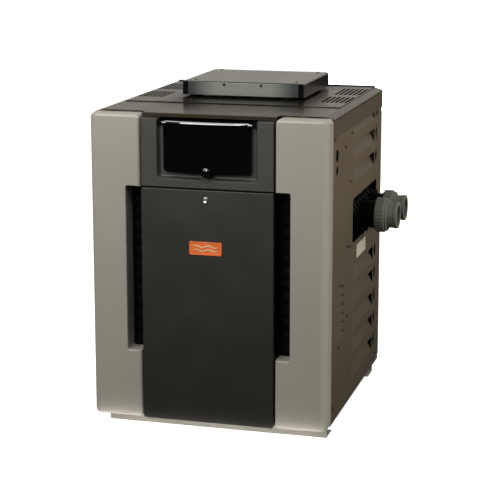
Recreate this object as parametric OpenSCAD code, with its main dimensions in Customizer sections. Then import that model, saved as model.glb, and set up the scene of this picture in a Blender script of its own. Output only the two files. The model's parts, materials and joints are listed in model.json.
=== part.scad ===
// Gas-fired pool heater. A sheet-steel cabinet on two base rails, with corner panels,
// a tilt-out front door, a flip-up cover over the controls, a vent cap on top and two
// pipe unions on the right side. Inside are the gas train, the burners, the finned-tube
// heat exchanger with its two water headers, and the flue collector.
//
// Frame: the origin is on the floor, midway between the four anchor holes of the rails.
// +X is to the right as seen from the front, +Y is to the rear and +Z is up.
// What stands on the rails is drawn in cabinet coordinates (see cab()): x from the middle,
// y back from the face of the corner panels, z up from the cabinet's bottom edge.

/* [Cabinet] */
// Width over the side panels
cab_w = 559; // [556:1:570]
// Depth from the corner panels' faces to the back of the rear panel
cab_d = 620.6; // [618:0.1:640]
// Height from the cabinet's bottom edge to the top
cab_h = 714; // [714:1:730]
// Thickness of the jacket's sheet steel
sheet = 1.5; // [1.2:0.1:2]
// Thickness of the panel and bezel walls at the front
shell = 2.5; // [2:0.1:3]
// Height of one large louvre
louvre_h = 35; // [28:1:40]
// How far a large louvre leans into the cabinet
louvre_depth = 21; // [14:1:24]
// How far the lid's side flanges hang down
lid_flange_h = 49; // [30:1:50]

/* [Base rails] */
// Length of a rail
rail_l = 530; // [500:1:540]
// Height of a rail
rail_h = 36; // [30:1:60]
// Depth of a rail from front to rear
rail_d = 54; // [50:1:60]
// Wall of a rail
rail_t = 2.5; // [2:0.1:4]
// Distance between the anchor holes along a rail
anchor_x = 470; // [440:1:480]
// Distance between the anchor holes of the two rails
anchor_y = 493; // [480:1:500]
// Diameter of an anchor hole
anchor_d = 11; // [9:0.5:14]

/* [Front] */
// Depth of a corner panel
post_d = 46; // [42:1:50]
// Distance from the middle to a corner panel's inner edge
post_in = 158.6; // [158:0.1:162]
// Radius of a corner panel's outer edge
post_r = 19; // [12:1:24]
// Width of the air intake in a corner panel
notch_w = 34.4; // [24:0.1:44]
// Height of the air intake's lower edge
notch_z = 160.8; // [120:0.1:200]
// Height of the air intake
notch_h = 385.9; // [300:0.1:390]
// Width of the front door
door_w = 310; // [300:1:311]
// Height of the front door
door_h = 545; // [540:1:546]
// Depth of the door's folded edges
door_d = 16; // [12:1:18]
// Gap between the door and the bezel above it
door_gap = 3.5; // [3:0.1:6]

/* [Controls] */
// Width of the flip-up cover
cover_w = 205; // [190:1:210]
// Height of the cover's lower edge
cover_z = 583.5; // [580:0.5:588]
// How far the cover bows out between its sides
cover_bow = 11; // [8:1:12]
// Wall of the cover
cover_t = 3; // [2:0.1:3.5]
// Radius of a button
button_r = 7; // [5:0.5:8]

/* [Water side] */
// Outer radius of a union nut
nut_r = 42.5; // [40:0.5:44]
// Outer radius of a union's end connector
connector_r = 31.8; // [30:0.1:32]
// Radius of the pipe socket in a connector
socket_r = 24.25; // [24:0.05:24.5]
// Depth of the pipe socket
socket_l = 32; // [28:1:34]
// Distance from the middle to a connector's open end
union_x = 369; // [366:1:380]
// Distance between the two unions
union_pitch = 102; // [98:1:110]
// Height of the heat exchanger's tubes
tube_z = 433; // [430:1:436]
// Outer radius of a heat exchanger tube
tube_r = 14; // [12:0.5:15]
// Distance between the tubes
tube_pitch = 38; // [37:0.5:38.5]

/* [Vent cap] */
// Width of the vent cap
cap_w = 302; // [280:1:320]
// Depth of the vent cap
cap_d = 272; // [250:1:280]
// Height of the vent cap's sides
cap_h = 33.6; // [28:0.1:40]
// Gap between the cap and the cabinet's top
cap_gap = 7.2; // [6:0.1:12]

/* [Hidden] */

$fn = 64;
fine_fn = 360;

// Cabinet
front_y = -(post_d + 51 + cab_d - 30.6) / 2;
side_x = cab_w / 2;
side_in = side_x - sheet;
air = 0.3;
inner_y = post_d + 0.6;
panel_y0 = inner_y;
panel_y1 = cab_d - 42.1;
panel_z0 = 6;
panel_z1 = cab_h - 9;
stiffener_w = 9.5;
lid_ridge = side_x - 17.5;
lid_top = cab_h + 0.2;
lid_front = 18;
lid_edge_z = cab_h - 5;
vent_panel_y = 200;
vent_panel_t = 2;
vent_panel_top = lid_top + vent_panel_t;

// Louvres
louvre_y0 = 274;
louvre_y1 = 526;
slit_y0 = 537;
slit_y1 = 559;
slit_h = 40;
louvre_z = [50, 109.2, 168.4, 227.6, 286.8, 529.5, 588.2, 647];
small_louvre_y0 = 86;
small_louvre_y1 = 172;
small_louvre_h = 8;
small_louvre_z = [for (i = [0 : 5]) 192 + 21.2 * i];
louvre_wall = 1.2;

// Knock-outs for the electrical supply
knockout_y = 88.5;
knockout_z = [621.6, 587.2];
knockout_r = [14, 10.75];

// Water side
hx_y = 434;
tube_count = 9;
hx_y0 = hx_y - 4.5 * tube_pitch - 1;
hx_y1 = hx_y + 4.5 * tube_pitch + 1;
union_y = [hx_y - union_pitch / 2, hx_y + union_pitch / 2];
header_x0 = 236;
header_face = 268;
header_bulge_x = 242;
header_bulge_r = 44;
header_half_h = 48;
header_bolt_z = 44;
port_y0 = 268;
port_y1 = 560;
port_z0 = 382;
port_z1 = 490;
neck_r = 33;
thread_r = 36;
nut_x0 = 314.6;
nut_x1 = 344;
collar_x = 330;

// Front
bezel_z0 = door_h + door_gap;
bezel_z1 = cab_h - 10;
bezel_w = door_w;
recess_w = 234;
recess_z = 567;
recess_z1 = bezel_z1 - 3;
recess_y = 13.5;
door_face = -1.5;
door_z0 = 0.6;
door_pin_y = 9;
door_pin_z = 9;
door_pin_r = 3;
latch_x = -2;
latch_z = 523.7;
hinge_y = 6;
hinge_z = 694;
hinge_r = 2.5;
cover_top = 700;
cover_side_y = 3;
cover_r = (pow(cover_w / 2, 2) + pow(cover_bow, 2)) / (2 * cover_bow);
cover_axis_y = cover_side_y - cover_bow + cover_r;
cover_latch_z = 586.8;
fit_gap = 0.05;
button_x = [-34, 0, 34];
button_z = 612;

// Vent cap
cap_y0 = 300;
cap_z0 = cab_h + cap_gap;
cap_z1 = cap_z0 + cap_h;
flue_x = 110;
flue_y0 = 332;
flue_y1 = 538;

// Combustion side
chamber_x = 205;
chamber_z0 = 110;
chamber_z1 = 380;
burner_z = 88;
burner_pitch = 42;
manifold_y = 215;
manifold_r = 13;
gas_y = 150;
gas_z = 150;
gas_pipe_r = 13.35;
gas_bore_r = 12.1;
valve_top = gas_z + 46;
knob_x = -12;
knob_z = gas_z - 2;

// Colours
c_jacket = "#4e463e";
c_lid = "#6f675e";
c_panel = "#9c988d";
c_charcoal = "#3b3a36";
c_black = "#16161a";
c_rail = "#9a9789";
c_steel = "#b4b4ae";
c_galvanised = "#8c9094";
c_copper = "#b87333";
c_brass = "#b5964a";
c_union = "#5d605b";

// ---------------------------------------------------------------- helpers
module cab() { translate([0, front_y, rail_h]) children(); }

module block(lo, hi) { translate(lo) cube(hi - lo); }

module slab_x(x0, x1) { translate([x0, 0, 0]) rotate([90, 0, 90]) linear_extrude(x1 - x0) children(); }

module slab_y(y0, y1) { translate([0, y1, 0]) rotate([90, 0, 0]) linear_extrude(y1 - y0) children(); }

module rod_x(x0, x1, r, y, z) { translate([x0, y, z]) rotate([0, 90, 0]) cylinder(h = x1 - x0, r = r); }

module rod_y(y0, y1, r, x, z) { translate([x, y1, z]) rotate([90, 0, 0]) cylinder(h = y1 - y0, r = r); }

module rod_z(z0, z1, r, x, y) { translate([x, y, z0]) cylinder(h = z1 - z0, r = r); }

module both_sides() {
    children();
    mirror([1, 0, 0]) children();
}

module rect(lo, hi) { translate(lo) square(hi - lo); }

module round_rect(lo, hi, r) {
    rect([lo.x + r, lo.y], [hi.x - r, hi.y]);
    rect([lo.x, lo.y + r], [hi.x, hi.y - r]);
    for (x = [lo.x + r, hi.x - r], y = [lo.y + r, hi.y - r]) translate([x, y]) circle(r);
}

// An open-topped or open-sided box: the block from lo to hi less the one inside it
module tray(lo, hi, inner_lo, inner_hi) {
    difference() {
        block(lo, hi);
        block(inner_lo, inner_hi);
    }
}

// A hexagon bolt head of the given width across its corners, standing up from z = 0
module hex_head(r, h) { cylinder(h = h, r = r, $fn = 6); }

// One louvre in a panel whose outer face is at x = 0: the strip is cut free along its top
// and its ends, and leans inwards from its lower edge
module louvre_flap(length, h, depth) {
    slab_y(-length / 2, length / 2)
        polygon([[0, 0], [-depth, h], [-depth - louvre_wall, h], [-sheet, 0]]);
}

module louvre_window(length, h) { block([-sheet - 1, -length / 2, 0], [1, length / 2, h]); }

// ---------------------------------------------------------------- base
// A channel along X, with its web at the outside and its two flanges pointing inwards
module rail(outer_y, inward) {
    y = [outer_y, outer_y + inward * rail_t, outer_y + inward * rail_d];
    difference() {
        slab_x(-rail_l / 2, rail_l / 2) polygon([
            [y[0], 0], [y[2], 0], [y[2], rail_t], [y[1], rail_t],
            [y[1], rail_h - rail_t], [y[2], rail_h - rail_t], [y[2], rail_h], [y[0], rail_h]
        ]);
        for (x = [-anchor_x / 2, anchor_x / 2])
            rod_z(-1, rail_t + 1, anchor_d / 2, x, outer_y + inward * rail_d / 2);
    }
}

module front_rail() { color(c_rail) rail(-anchor_y / 2 - rail_d / 2, 1); }

module rear_rail() { color(c_rail) rail(anchor_y / 2 + rail_d / 2, -1); }

module base_pan() {
    x = side_in - 0.1;
    y0 = inner_y + sheet + 0.1;
    y1 = cab_d - sheet - 0.1;
    lip = 18;
    slot_w = 16;
    color(c_galvanised) cab() difference() {
        block([-x, y0, 0], [x, y1, lip]);
        block([-x + sheet, y0 + sheet, sheet], [x - sheet, y1 - sheet, lip + 1]);
        for (i = [-3 : 3]) block([48 * i - slot_w / 2, 280, -1], [48 * i + slot_w / 2, 540, sheet + 1]);
    }
}

// The ledge below the door, folded down at its front edge
module door_sill() {
    x = door_w / 2 - 5;
    y0 = 13;
    y1 = post_d + 22;
    color(c_charcoal) cab() {
        block([-x, y0, -sheet], [x, y1, 0]);
        block([-x, y0, -9], [x, y0 + sheet, -sheet]);
    }
}

// ---------------------------------------------------------------- jacket
// A lens-shaped slit, pointed at its top and its bottom
module slit_outline() {
    half = (slit_y1 - slit_y0) / 2;
    r = (half * half + slit_h * slit_h / 4) / (2 * half);
    intersection_for (side = [-1, 1])
        translate([(slit_y0 + slit_y1) / 2 + side * (r - half), slit_h / 2]) circle(r);
}

// The plain sheet of a side panel on the right side, cut away behind its louvres, with a slit
// to the rear of each large louvre
module side_sheet() {
    difference() {
        block([side_in, panel_y0, panel_z0], [side_x, panel_y1, panel_z1]);
        for (z = louvre_z) translate([0, 0, z + 1]) slab_x(side_in - 1, side_x + 1) slit_outline();
        for (z = louvre_z) translate([side_x, (louvre_y0 + louvre_y1) / 2, z])
            louvre_window(louvre_y1 - louvre_y0, louvre_h);
        for (z = small_louvre_z) translate([side_x, (small_louvre_y0 + small_louvre_y1) / 2, z])
            louvre_window(small_louvre_y1 - small_louvre_y0, small_louvre_h);
        children();
    }
}

// The strips of both side panels that lean inwards in the panels' windows
module side_louvres() {
    color(c_jacket) cab() both_sides() {
        for (z = louvre_z) translate([side_x, (louvre_y0 + louvre_y1) / 2, z])
            louvre_flap(louvre_y1 - louvre_y0 - 2, louvre_h - 1, louvre_depth);
        for (z = small_louvre_z) translate([side_x, (small_louvre_y0 + small_louvre_y1) / 2, z])
            louvre_flap(small_louvre_y1 - small_louvre_y0 - 2, small_louvre_h - 1, 6);
    }
}

// Steel angles behind the front and rear edges of both side panels
module side_stiffeners() {
    x = side_in - stiffener_w;
    z0 = panel_z0 + 14;
    z1 = panel_z1 - 10;
    color(c_galvanised) cab() both_sides() for (y = [panel_y0, panel_y1 - sheet]) {
        leg_y = y == panel_y0 ? y : y + sheet - stiffener_w;
        block([x, y, z0], [side_in, y + sheet, z1]);
        block([side_in - sheet, leg_y, z0], [side_in, leg_y + stiffener_w, z1]);
    }
}

module left_side_panel() {
    color(c_jacket) cab() mirror([1, 0, 0]) side_sheet() {
        rod_x(side_in - 1, side_x + 1, gas_pipe_r + 6.5, gas_y, gas_z);
    }
}

module right_side_panel() {
    color(c_jacket) cab() side_sheet() {
        slab_x(side_in - 1, side_x + 1) round_rect([port_y0, port_z0], [port_y1, port_z1], 12);
        for (i = [0, 1]) rod_x(side_in - 1, side_x + 1, knockout_r[i], knockout_y, knockout_z[i]);
    }
}

module rear_panel() {
    y0 = panel_y1 + 0.5;
    louvre_l = 150;
    color(c_jacket) cab() {
        difference() {
            block([-side_x, y0, 15], [side_x, cab_d, panel_z1]);
            block([-side_in, y0 - 1, 14], [side_in, cab_d - sheet, panel_z1 + 1]);
            for (x = [-95, 95], i = [0 : 4]) translate([x, cab_d, 60 + 56 * i])
                rotate([0, 0, 90]) louvre_window(louvre_l, louvre_h);
        }
        for (x = [-95, 95], i = [0 : 4]) translate([x, cab_d, 60 + 56 * i])
            rotate([0, 0, 90]) translate([0, 0, -0.2]) louvre_flap(louvre_l, louvre_h - 1, 11);
    }
}

// Corners of the lid's cross-section, drawn in by t
function lid_side(t) = [
    [side_x + sheet - t, cab_h - lid_flange_h], [side_x + sheet - t, lid_edge_z - t / 2],
    [lid_ridge - t / 4, lid_top - t]
];

module lid_section() {
    outer = lid_side(0);
    inner = lid_side(sheet);
    polygon([
        outer[0], outer[1], outer[2], [-outer[2].x, outer[2].y], [-outer[1].x, outer[1].y],
        [-outer[0].x, outer[0].y], [-inner[0].x, inner[0].y], [-inner[1].x, inner[1].y],
        [-inner[2].x, inner[2].y], inner[2], inner[1], inner[0]
    ]);
}

module top_lid() {
    y1 = cab_d - 1;
    lip_x = post_in - 1.6;
    color(c_lid) cab() difference() {
        union() {
            slab_y(panel_y0, y1) lid_section();
            block([-lid_ridge, lid_front, lid_top - sheet], [lid_ridge, panel_y0 + 1, lid_top]);
            block([-lip_x, lid_front, lid_top - 8], [lip_x, lid_front + sheet, lid_top - sheet]);
        }
        both_sides() for (y = [[274, 391], [425, 558]])
            block([193, y[0], lid_top - sheet - 1], [lid_ridge - 2.5, y[1], lid_top + 1]);
        block([-flue_x - 2, flue_y0 - 2, lid_top - sheet - 1], [flue_x + 2, flue_y1 + 2, lid_top + 1]);
    }
}

// The raised rear part of the top, with two groups of slots on each side
module top_vent_panel() {
    slot_w = 6.2;
    color(c_lid) cab() difference() {
        block([-lid_ridge + 1, vent_panel_y, lid_top], [lid_ridge - 1, cab_d - 8, vent_panel_top]);
        both_sides() for (i = [0 : 5], y = [[277, 388], [428, 555]])
            translate([195.5 + 11.2 * i, y[0], lid_top - 1]) cube([slot_w, y[1] - y[0], vent_panel_t + 2]);
        block([-flue_x - 2, flue_y0 - 2, lid_top - 1], [flue_x + 2, flue_y1 + 2, vent_panel_top + 1]);
    }
}

// The black bulkhead behind the corner panels, with air slots behind both intakes
module inner_front_panel() {
    x = side_in - stiffener_w - 1;
    slot_h = 18;
    color(c_black) cab() difference() {
        block([-x, inner_y, 2], [x, inner_y + sheet, panel_z1 - 1]);
        block([-145, inner_y - 1, 40], [145, inner_y + sheet + 1, 540]);
        block([-95, inner_y - 1, 590], [95, inner_y + sheet + 1, 690]);
        both_sides() for (i = [0 : 11])
            translate([164, inner_y - 1, 176 + 30 * i]) cube([24, sheet + 2, slot_h]);
    }
}

// ---------------------------------------------------------------- front
// Plan of a corner panel on the right side, drawn in by t on all but its rear side
module post_plan(t) {
    edge_r = 4 - t;
    x0 = post_in + t;
    x1 = side_x - t;
    rect([post_in + 4, t], [side_x - post_r, post_d]);
    rect([x0, 4], [side_x - post_r, post_d]);
    rect([side_x - post_r - 1, post_r], [x1, post_d]);
    translate([side_x - post_r, post_r]) circle(post_r - t);
    translate([post_in + 4, 4]) circle(edge_r);
}

// A corner panel is a shell, open at the rear, with the air intake as a walled notch
module corner_panel() {
    z1 = cab_h - 3;
    x_notch = post_in + notch_w;
    difference() {
        linear_extrude(z1) post_plan(0);
        difference() {
            translate([0, 0, shell]) linear_extrude(z1 - 2 * shell) post_plan(shell);
            block([0, -1, notch_z - shell], [x_notch + shell, post_d + 1, notch_z + notch_h + shell]);
        }
        block([0, -1, notch_z], [x_notch, post_d + 1, notch_z + notch_h]);
        rod_x(post_in - 1, post_in + shell + 1, door_pin_r + fit_gap, door_pin_y, door_pin_z);
    }
}

module left_corner_panel() { color(c_panel) cab() mirror([1, 0, 0]) corner_panel(); }

module right_corner_panel() { color(c_panel) cab() corner_panel(); }

// The frame around the control cover, with a recess that is open at its top
module control_bezel() {
    x = bezel_w / 2;
    xr = recess_w / 2;
    color(c_charcoal) cab() difference() {
        union() {
            slab_y(0, shell) difference() {
                rect([-x, bezel_z0], [x, bezel_z1]);
                round_rect([-xr, recess_z], [xr, bezel_z1 + 20], 10);
            }
            slab_y(0, recess_y + shell) intersection() {
                rect([-x, bezel_z0], [x, bezel_z1]);
                difference() {
                    round_rect([-xr - shell, recess_z - shell], [xr + shell, bezel_z1 + 20], 12.5);
                    round_rect([-xr, recess_z], [xr, bezel_z1 + 30], 10);
                }
            }
            block([-xr - 1, recess_y, recess_z - 1], [xr + 1, recess_y + shell, recess_z1]);
            block([-x, shell - 1, bezel_z0], [x, post_d, bezel_z0 + shell]);
            both_sides() {
                block([x - shell, shell - 1, bezel_z0], [x, post_d, bezel_z1]);
                block([xr, shell - 1, bezel_z1 - shell], [x, post_d, bezel_z1]);
                block([cover_w / 2 + 3, 1, hinge_z - 5], [xr + 1, recess_y + 1, hinge_z + 5]);
            }
        }
        block([-77, recess_y - 1, 597], [77, recess_y + shell + 1, 683]);
        block([-18, shell + 0.2, recess_z - shell - 1], [18, 6.4, recess_z + 1]);
        block([latch_x - 8, door_d + 0.5, bezel_z0 - 1], [latch_x + 31, door_d + 5, bezel_z0 + shell + 1]);
        both_sides() rod_x(cover_w / 2 + 2, recess_w / 2 - 1, hinge_r, hinge_y, hinge_z);
    }
}

// A folded pan with two stiffeners. It tilts on the pins at its bottom corners, and its
// latch's tongue locks by turning up through a slot in the bezel's lower wall
module front_door() {
    x = door_w / 2;
    pin_end = post_in + 2;
    hat_x = 70;
    hat_w = 40;
    hat_y = 10;
    hat_z = [30, 500];
    color(c_charcoal) cab() difference() {
        union() {
            block([-x, door_face, door_z0], [x, 0, door_h]);
            for (z = [door_z0, door_h - sheet]) block([-x, -0.5, z], [x, door_d, z + sheet]);
            both_sides() {
                block([x - sheet, -0.5, door_z0], [x, door_d, door_h]);
                rod_x(x - 1, pin_end, door_pin_r, door_pin_y, door_pin_z);
            }
            both_sides()
                block([hat_x - hat_w / 2, -0.5, hat_z[0]], [hat_x + hat_w / 2, hat_y, hat_z[1]]);
        }
        both_sides()
            block(
                [hat_x - hat_w / 2 + sheet, -1 + sheet, hat_z[0] - 1],
                [hat_x + hat_w / 2 - sheet, hat_y - sheet, hat_z[1] + 1]
            );
        rod_y(door_face - 1, 1, 4 + fit_gap, latch_x, latch_z);
    }
}

module badge() {
    color("#c8452c") cab() translate([-3, 0, 412]) slab_y(door_face - 1.6, door_face)
        round_rect([-38, -15.25], [38, 15.25], 3);
}

// A key latch: its ring stands on the door's face and its tongue turns behind the door
module door_latch() {
    tongue_y = door_d + 1;
    color(c_steel) cab() {
        difference() {
            rod_y(door_face - 3, door_face - air, 6.5, latch_x, latch_z);
            translate([latch_x, 0, latch_z]) block([-0.8, door_face - 4, -3], [0.8, door_face - 1.5, 3]);
        }
        rod_y(door_face - 1, tongue_y, 4, latch_x, latch_z);
        block([latch_x - 5, tongue_y, latch_z - 5], [latch_x + 34, tongue_y + 2, latch_z + 5]);
    }
}

// ---------------------------------------------------------------- controls
module cover_outline() {
    round_rect([-cover_w / 2, cover_z], [cover_w / 2, cover_top], 9);
    translate([0, cover_latch_z]) circle(12.5);
}

// A curved door with two hinge eyes behind its top corners
module control_cover() {
    x1 = cover_w / 2 + 2.7;
    color(c_black) cab() difference() {
        union() {
            intersection() {
                translate([0, cover_axis_y, cover_z - 20]) difference() {
                    cylinder(h = 160, r = cover_r, $fn = fine_fn);
                    translate([0, 0, -1]) cylinder(h = 162, r = cover_r - cover_t, $fn = fine_fn);
                }
                slab_y(-30, 30) cover_outline();
            }
            both_sides() {
                rod_x(cover_w / 2 - 12, x1, 4.5, hinge_y, hinge_z);
                block([cover_w / 2 - 12, 3, hinge_z - 4.5], [cover_w / 2 - 1, hinge_y, hinge_z + 4.5]);
            }
        }
        both_sides() rod_x(cover_w / 2 - 10, x1 + 1, hinge_r + fit_gap, hinge_y, hinge_z);
        rod_y(-30, 10, 4 + fit_gap, 0, cover_latch_z);
    }
}

module cover_hinge_pins() {
    color(c_steel) cab() both_sides()
        rod_x(cover_w / 2 - 9, recess_w / 2 - 1, hinge_r, hinge_y, hinge_z);
}

// A quarter-turn knob whose tongue turns behind the bezel's lower edge
module cover_latch() {
    y0 = cover_side_y - cover_bow;
    color(c_black) cab() {
        rod_y(y0 - 5, y0 - air, 10, 0, cover_latch_z);
        rod_y(y0 - 1, 3.2, 4, 0, cover_latch_z);
        block([-4, 3.2, cover_latch_z - 4], [23, 5.2, cover_latch_z + 4]);
    }
}

module display_housing() {
    x = 76;
    y0 = 10;
    y1 = 36;
    z0 = 598;
    z1 = 682;
    color(c_charcoal) cab() difference() {
        union() {
            block([-x, y0, z0], [x, y1, z1]);
            block([-x - 8, recess_y + shell, z0 - 8], [x + 8, recess_y + shell + 2, z1 + 8]);
        }
        block([-x + 2, y0 + 2.5, z0 + 2], [x - 2, y1 + 1, z1 - 2]);
        block([-46, y0 - 1, 634], [46, y0 + 3, 672]);
        for (bx = button_x) rod_y(y0 - 1, y0 + 3, button_r + air, bx, button_z);
    }
}

module display_glass() { color("#22302a") cab() block([-49, 12.5, 631], [49, 14.5, 675]); }

module display_board() {
    color("#1f5a3a") cab() {
        block([-74, 18, 600], [74, 19.6, 680]);
        for (bx = button_x) block([bx - 3, 16.6, button_z - 3], [bx + 3, 18, button_z + 3]);
        block([-45, 14.6, 634], [45, 18, 672]);
        block([-60, 19.6, 615], [-20, 27, 640]);
    }
}

module push_button(bx) {
    color("#d8d8d2") cab() {
        rod_y(8, 13, button_r, bx, button_z);
        rod_y(12.8, 14.6, button_r + 2, bx, button_z);
        rod_y(14.6, 15.4, 2, bx, button_z);
    }
}

module button_mode() { push_button(button_x[0]); }

module button_up() { push_button(button_x[1]); }

module button_down() { push_button(button_x[2]); }

// ---------------------------------------------------------------- vent cap
module vent_cap() {
    x = cap_w / 2;
    y1 = cap_y0 + cap_d;
    color("#8c8479") cab() {
        block([-x, cap_y0, cap_z1 - sheet], [x, y1, cap_z1]);
        both_sides() block([x - sheet, cap_y0, cap_z0], [x, y1, cap_z1 - sheet / 2]);
        block([-x, y1 - sheet, cap_z0], [x, y1, cap_z1 - sheet / 2]);
        both_sides() block([x - 14, cap_y0, cap_z0], [x - sheet / 2, cap_y0 + sheet, cap_z1 - sheet / 2]);
    }
}

// The satin steel strip between the cap's front corners, folded back along both edges
module vent_cap_front() {
    x = cap_w / 2 - 14.2;
    y0 = cap_y0 + 1;
    color("#7c7f76") cab() {
        block([-x, y0, cap_z0], [x, y0 + sheet, cap_z1 - sheet - 0.2]);
        block([-x, y0, cap_z0], [x, y0 + 12, cap_z0 + sheet]);
        block([-x, y0, cap_z1 - 2 * sheet - 0.2], [x, y0 + 12, cap_z1 - sheet - 0.2]);
    }
}

module vent_cap_brackets() {
    leg_w = 16;
    color(c_black) cab() both_sides() for (y = [cap_y0 + 22, cap_y0 + cap_d - 24]) {
        block([118, y, vent_panel_top], [118 + leg_w, y + 2, cap_z1 - sheet]);
        block([118, y, vent_panel_top], [118 + leg_w, y + 14, vent_panel_top + 2]);
        block([118, y, cap_z1 - sheet - 2], [118 + leg_w, y + 14, cap_z1 - sheet]);
    }
}

// ---------------------------------------------------------------- combustion side
// A hood over the heat exchanger that narrows upwards, and the flue collar that stands on it
module flue_collector() {
    z = [486, 510, 630, cab_h + 22];
    seam = 0.2;
    lo = [-chamber_x, hx_y0 + 1];
    hi = [chamber_x, hx_y1 - 1];
    color(c_galvanised) cab() difference() {
        union() {
            block([lo.x, lo.y, z[0]], [hi.x, hi.y, z[1]]);
            hull() {
                block([lo.x, lo.y, z[1] - 1], [hi.x, hi.y, z[1]]);
                block([-flue_x, flue_y0, z[2]], [flue_x, flue_y1, z[2] + 1]);
            }
        }
        block([lo.x + sheet, lo.y + sheet, z[0] - 1], [hi.x - sheet, hi.y - sheet, z[1]]);
        hull() {
            block([lo.x + sheet, lo.y + sheet, z[1] - 1], [hi.x - sheet, hi.y - sheet, z[1]]);
            block([-flue_x + sheet, flue_y0 + sheet, z[2]], [flue_x - sheet, flue_y1 - sheet, z[2] + 1]);
        }
        block([-flue_x + sheet, flue_y0 + sheet, z[2]], [flue_x - sheet, flue_y1 - sheet, z[2] + 2]);
    }
    color(c_galvanised) cab() tray(
        [-flue_x, flue_y0, z[2] + 1 + seam], [flue_x, flue_y1, z[3]],
        [-flue_x + sheet, flue_y0 + sheet, z[2]], [flue_x - sheet, flue_y1 - sheet, z[3] + 1]
    );
}

module combustion_chamber() {
    lo = [-chamber_x, hx_y0 + 1];
    hi = [chamber_x, hx_y1 - 1];
    color(c_galvanised) cab() tray(
        [lo.x, lo.y, chamber_z0], [hi.x, hi.y, chamber_z1],
        [lo.x + sheet, lo.y + sheet, chamber_z0 - 1], [hi.x - sheet, hi.y - sheet, chamber_z1 + 1]
    );
}

module refractory_boards() {
    board_t = 22;
    x = chamber_x - sheet;
    y0 = hx_y0 + 1 + sheet;
    y1 = hx_y1 - 1 - sheet;
    z0 = chamber_z0 + 16;
    color("#d8cfb8") cab() {
        both_sides() block([x - board_t, y0, z0], [x, y1, chamber_z1]);
        block([-x + board_t, y0, z0], [x - board_t, y0 + board_t, chamber_z1]);
        block([-x + board_t, y1 - board_t, z0], [x - board_t, y1, chamber_z1]);
    }
}

module burner_tray() {
    x = chamber_x;
    y0 = 244;
    y1 = hx_y1 - 1;
    z0 = 58;
    color(c_galvanised) cab() difference() {
        block([-x, y0, z0], [x, y1, chamber_z0]);
        block([-x + sheet, y0 + sheet, z0 + sheet], [x - sheet, y1 - sheet, chamber_z0 + 1]);
        for (i = [-4 : 4]) rod_y(y0 - 1, y0 + sheet + 1, 12.4, i * burner_pitch, burner_z);
    }
}

// Each burner is a long tube with a flared mouth in front and a row of ports on its top
module burners() {
    y0 = 232;
    y1 = hx_y1 - 20;
    color("#a9aca8") cab() for (i = [-4 : 4]) translate([i * burner_pitch, 0, burner_z]) difference() {
        union() {
            rod_y(y0 + 8, y1, 12, 0, 0);
            translate([0, y0 + 8, 0]) rotate([90, 0, 0]) cylinder(h = 8, r1 = 12, r2 = 16);
        }
        rod_y(y0 - 1, y1 - sheet, 10.5, 0, 0);
        for (j = [0 : 9]) block([-2, 290 + 30 * j, 8], [2, 308 + 30 * j, 14]);
    }
}

module gas_manifold() {
    x = 186;
    feed_x = 60;
    color(c_jacket) cab() {
        difference() {
            rod_x(-x, x, manifold_r, manifold_y, burner_z);
            rod_x(-x + 4, x - 4, manifold_r - 2.8, manifold_y, burner_z);
            for (i = [-4 : 4]) rod_y(manifold_y, manifold_y + manifold_r + 1, 4, i * burner_pitch, burner_z);
        }
        rod_x(20, feed_x, 10, gas_y, gas_z);
        translate([feed_x, gas_y, gas_z]) sphere(10);
        rod_z(burner_z, gas_z, 10, feed_x, gas_y);
        translate([feed_x, gas_y, burner_z]) sphere(10);
        rod_y(gas_y, manifold_y - manifold_r + 1, 10, feed_x, burner_z);
    }
}

// Brass jets, one in front of each burner's mouth
module gas_orifices() {
    y0 = manifold_y + manifold_r - 2;
    color(c_brass) cab() for (i = [-4 : 4]) difference() {
        rod_y(y0, y0 + 8, 4, i * burner_pitch, burner_z);
        rod_y(y0 - 1, y0 + 9, 1, i * burner_pitch, burner_z);
    }
}

module gas_valve() {
    color("#8d9196") cab() {
        block([-60, 118, gas_z - 28], [20, 182, gas_z + 28]);
        rod_y(108, 119, 9, -38, gas_z + 10);
        block([-50, 124, gas_z + 28], [10, 176, valve_top]);
        rod_x(-70, -59, 19, gas_y, gas_z);
    }
}

// The on-off knob on the front of the gas valve
module gas_valve_knob() {
    color("#c03a2b") cab() translate([knob_x, 0, knob_z]) {
        rod_y(104, 118 - air, 13, 0, 0);
        block([-2.5, 98, -12], [2.5, 104.5, 12]);
    }
}

// The supply pipe, ending in a threaded coupling behind the left side panel
module gas_inlet_pipe() {
    face_x = side_x - 0.5;
    color(c_jacket) cab() difference() {
        union() {
            rod_x(-face_x + 18, -70, gas_pipe_r, gas_y, gas_z);
            rod_x(-face_x, -face_x + 36, 18.5, gas_y, gas_z);
        }
        rod_x(-face_x + 15, -69, 10.5, gas_y, gas_z);
        rod_x(-face_x - 1, -face_x + 20, gas_bore_r, gas_y, gas_z);
    }
}

module pilot_burner() {
    color(c_steel) cab() {
        block([-chamber_x + sheet, 300, chamber_z0 - 9], [-chamber_x + 26, 302, chamber_z0 - 0.5]);
        rod_z(chamber_z0 - 9, chamber_z0 + 12, 4, -chamber_x + 13, 306);
        rod_z(chamber_z0 - 9, chamber_z0 + 15, 2, -chamber_x + 22, 304);
    }
}

// ---------------------------------------------------------------- heat exchanger
function tube_y(i) = hx_y + (i - 4) * tube_pitch;

module heat_exchanger_tubes() {
    color(c_copper) cab() for (i = [0 : tube_count - 1]) difference() {
        rod_x(-header_x0, header_x0, tube_r, tube_y(i), tube_z);
        rod_x(-header_x0 - 1, header_x0 + 1, tube_r - 1.5, tube_y(i), tube_z);
    }
}

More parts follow.
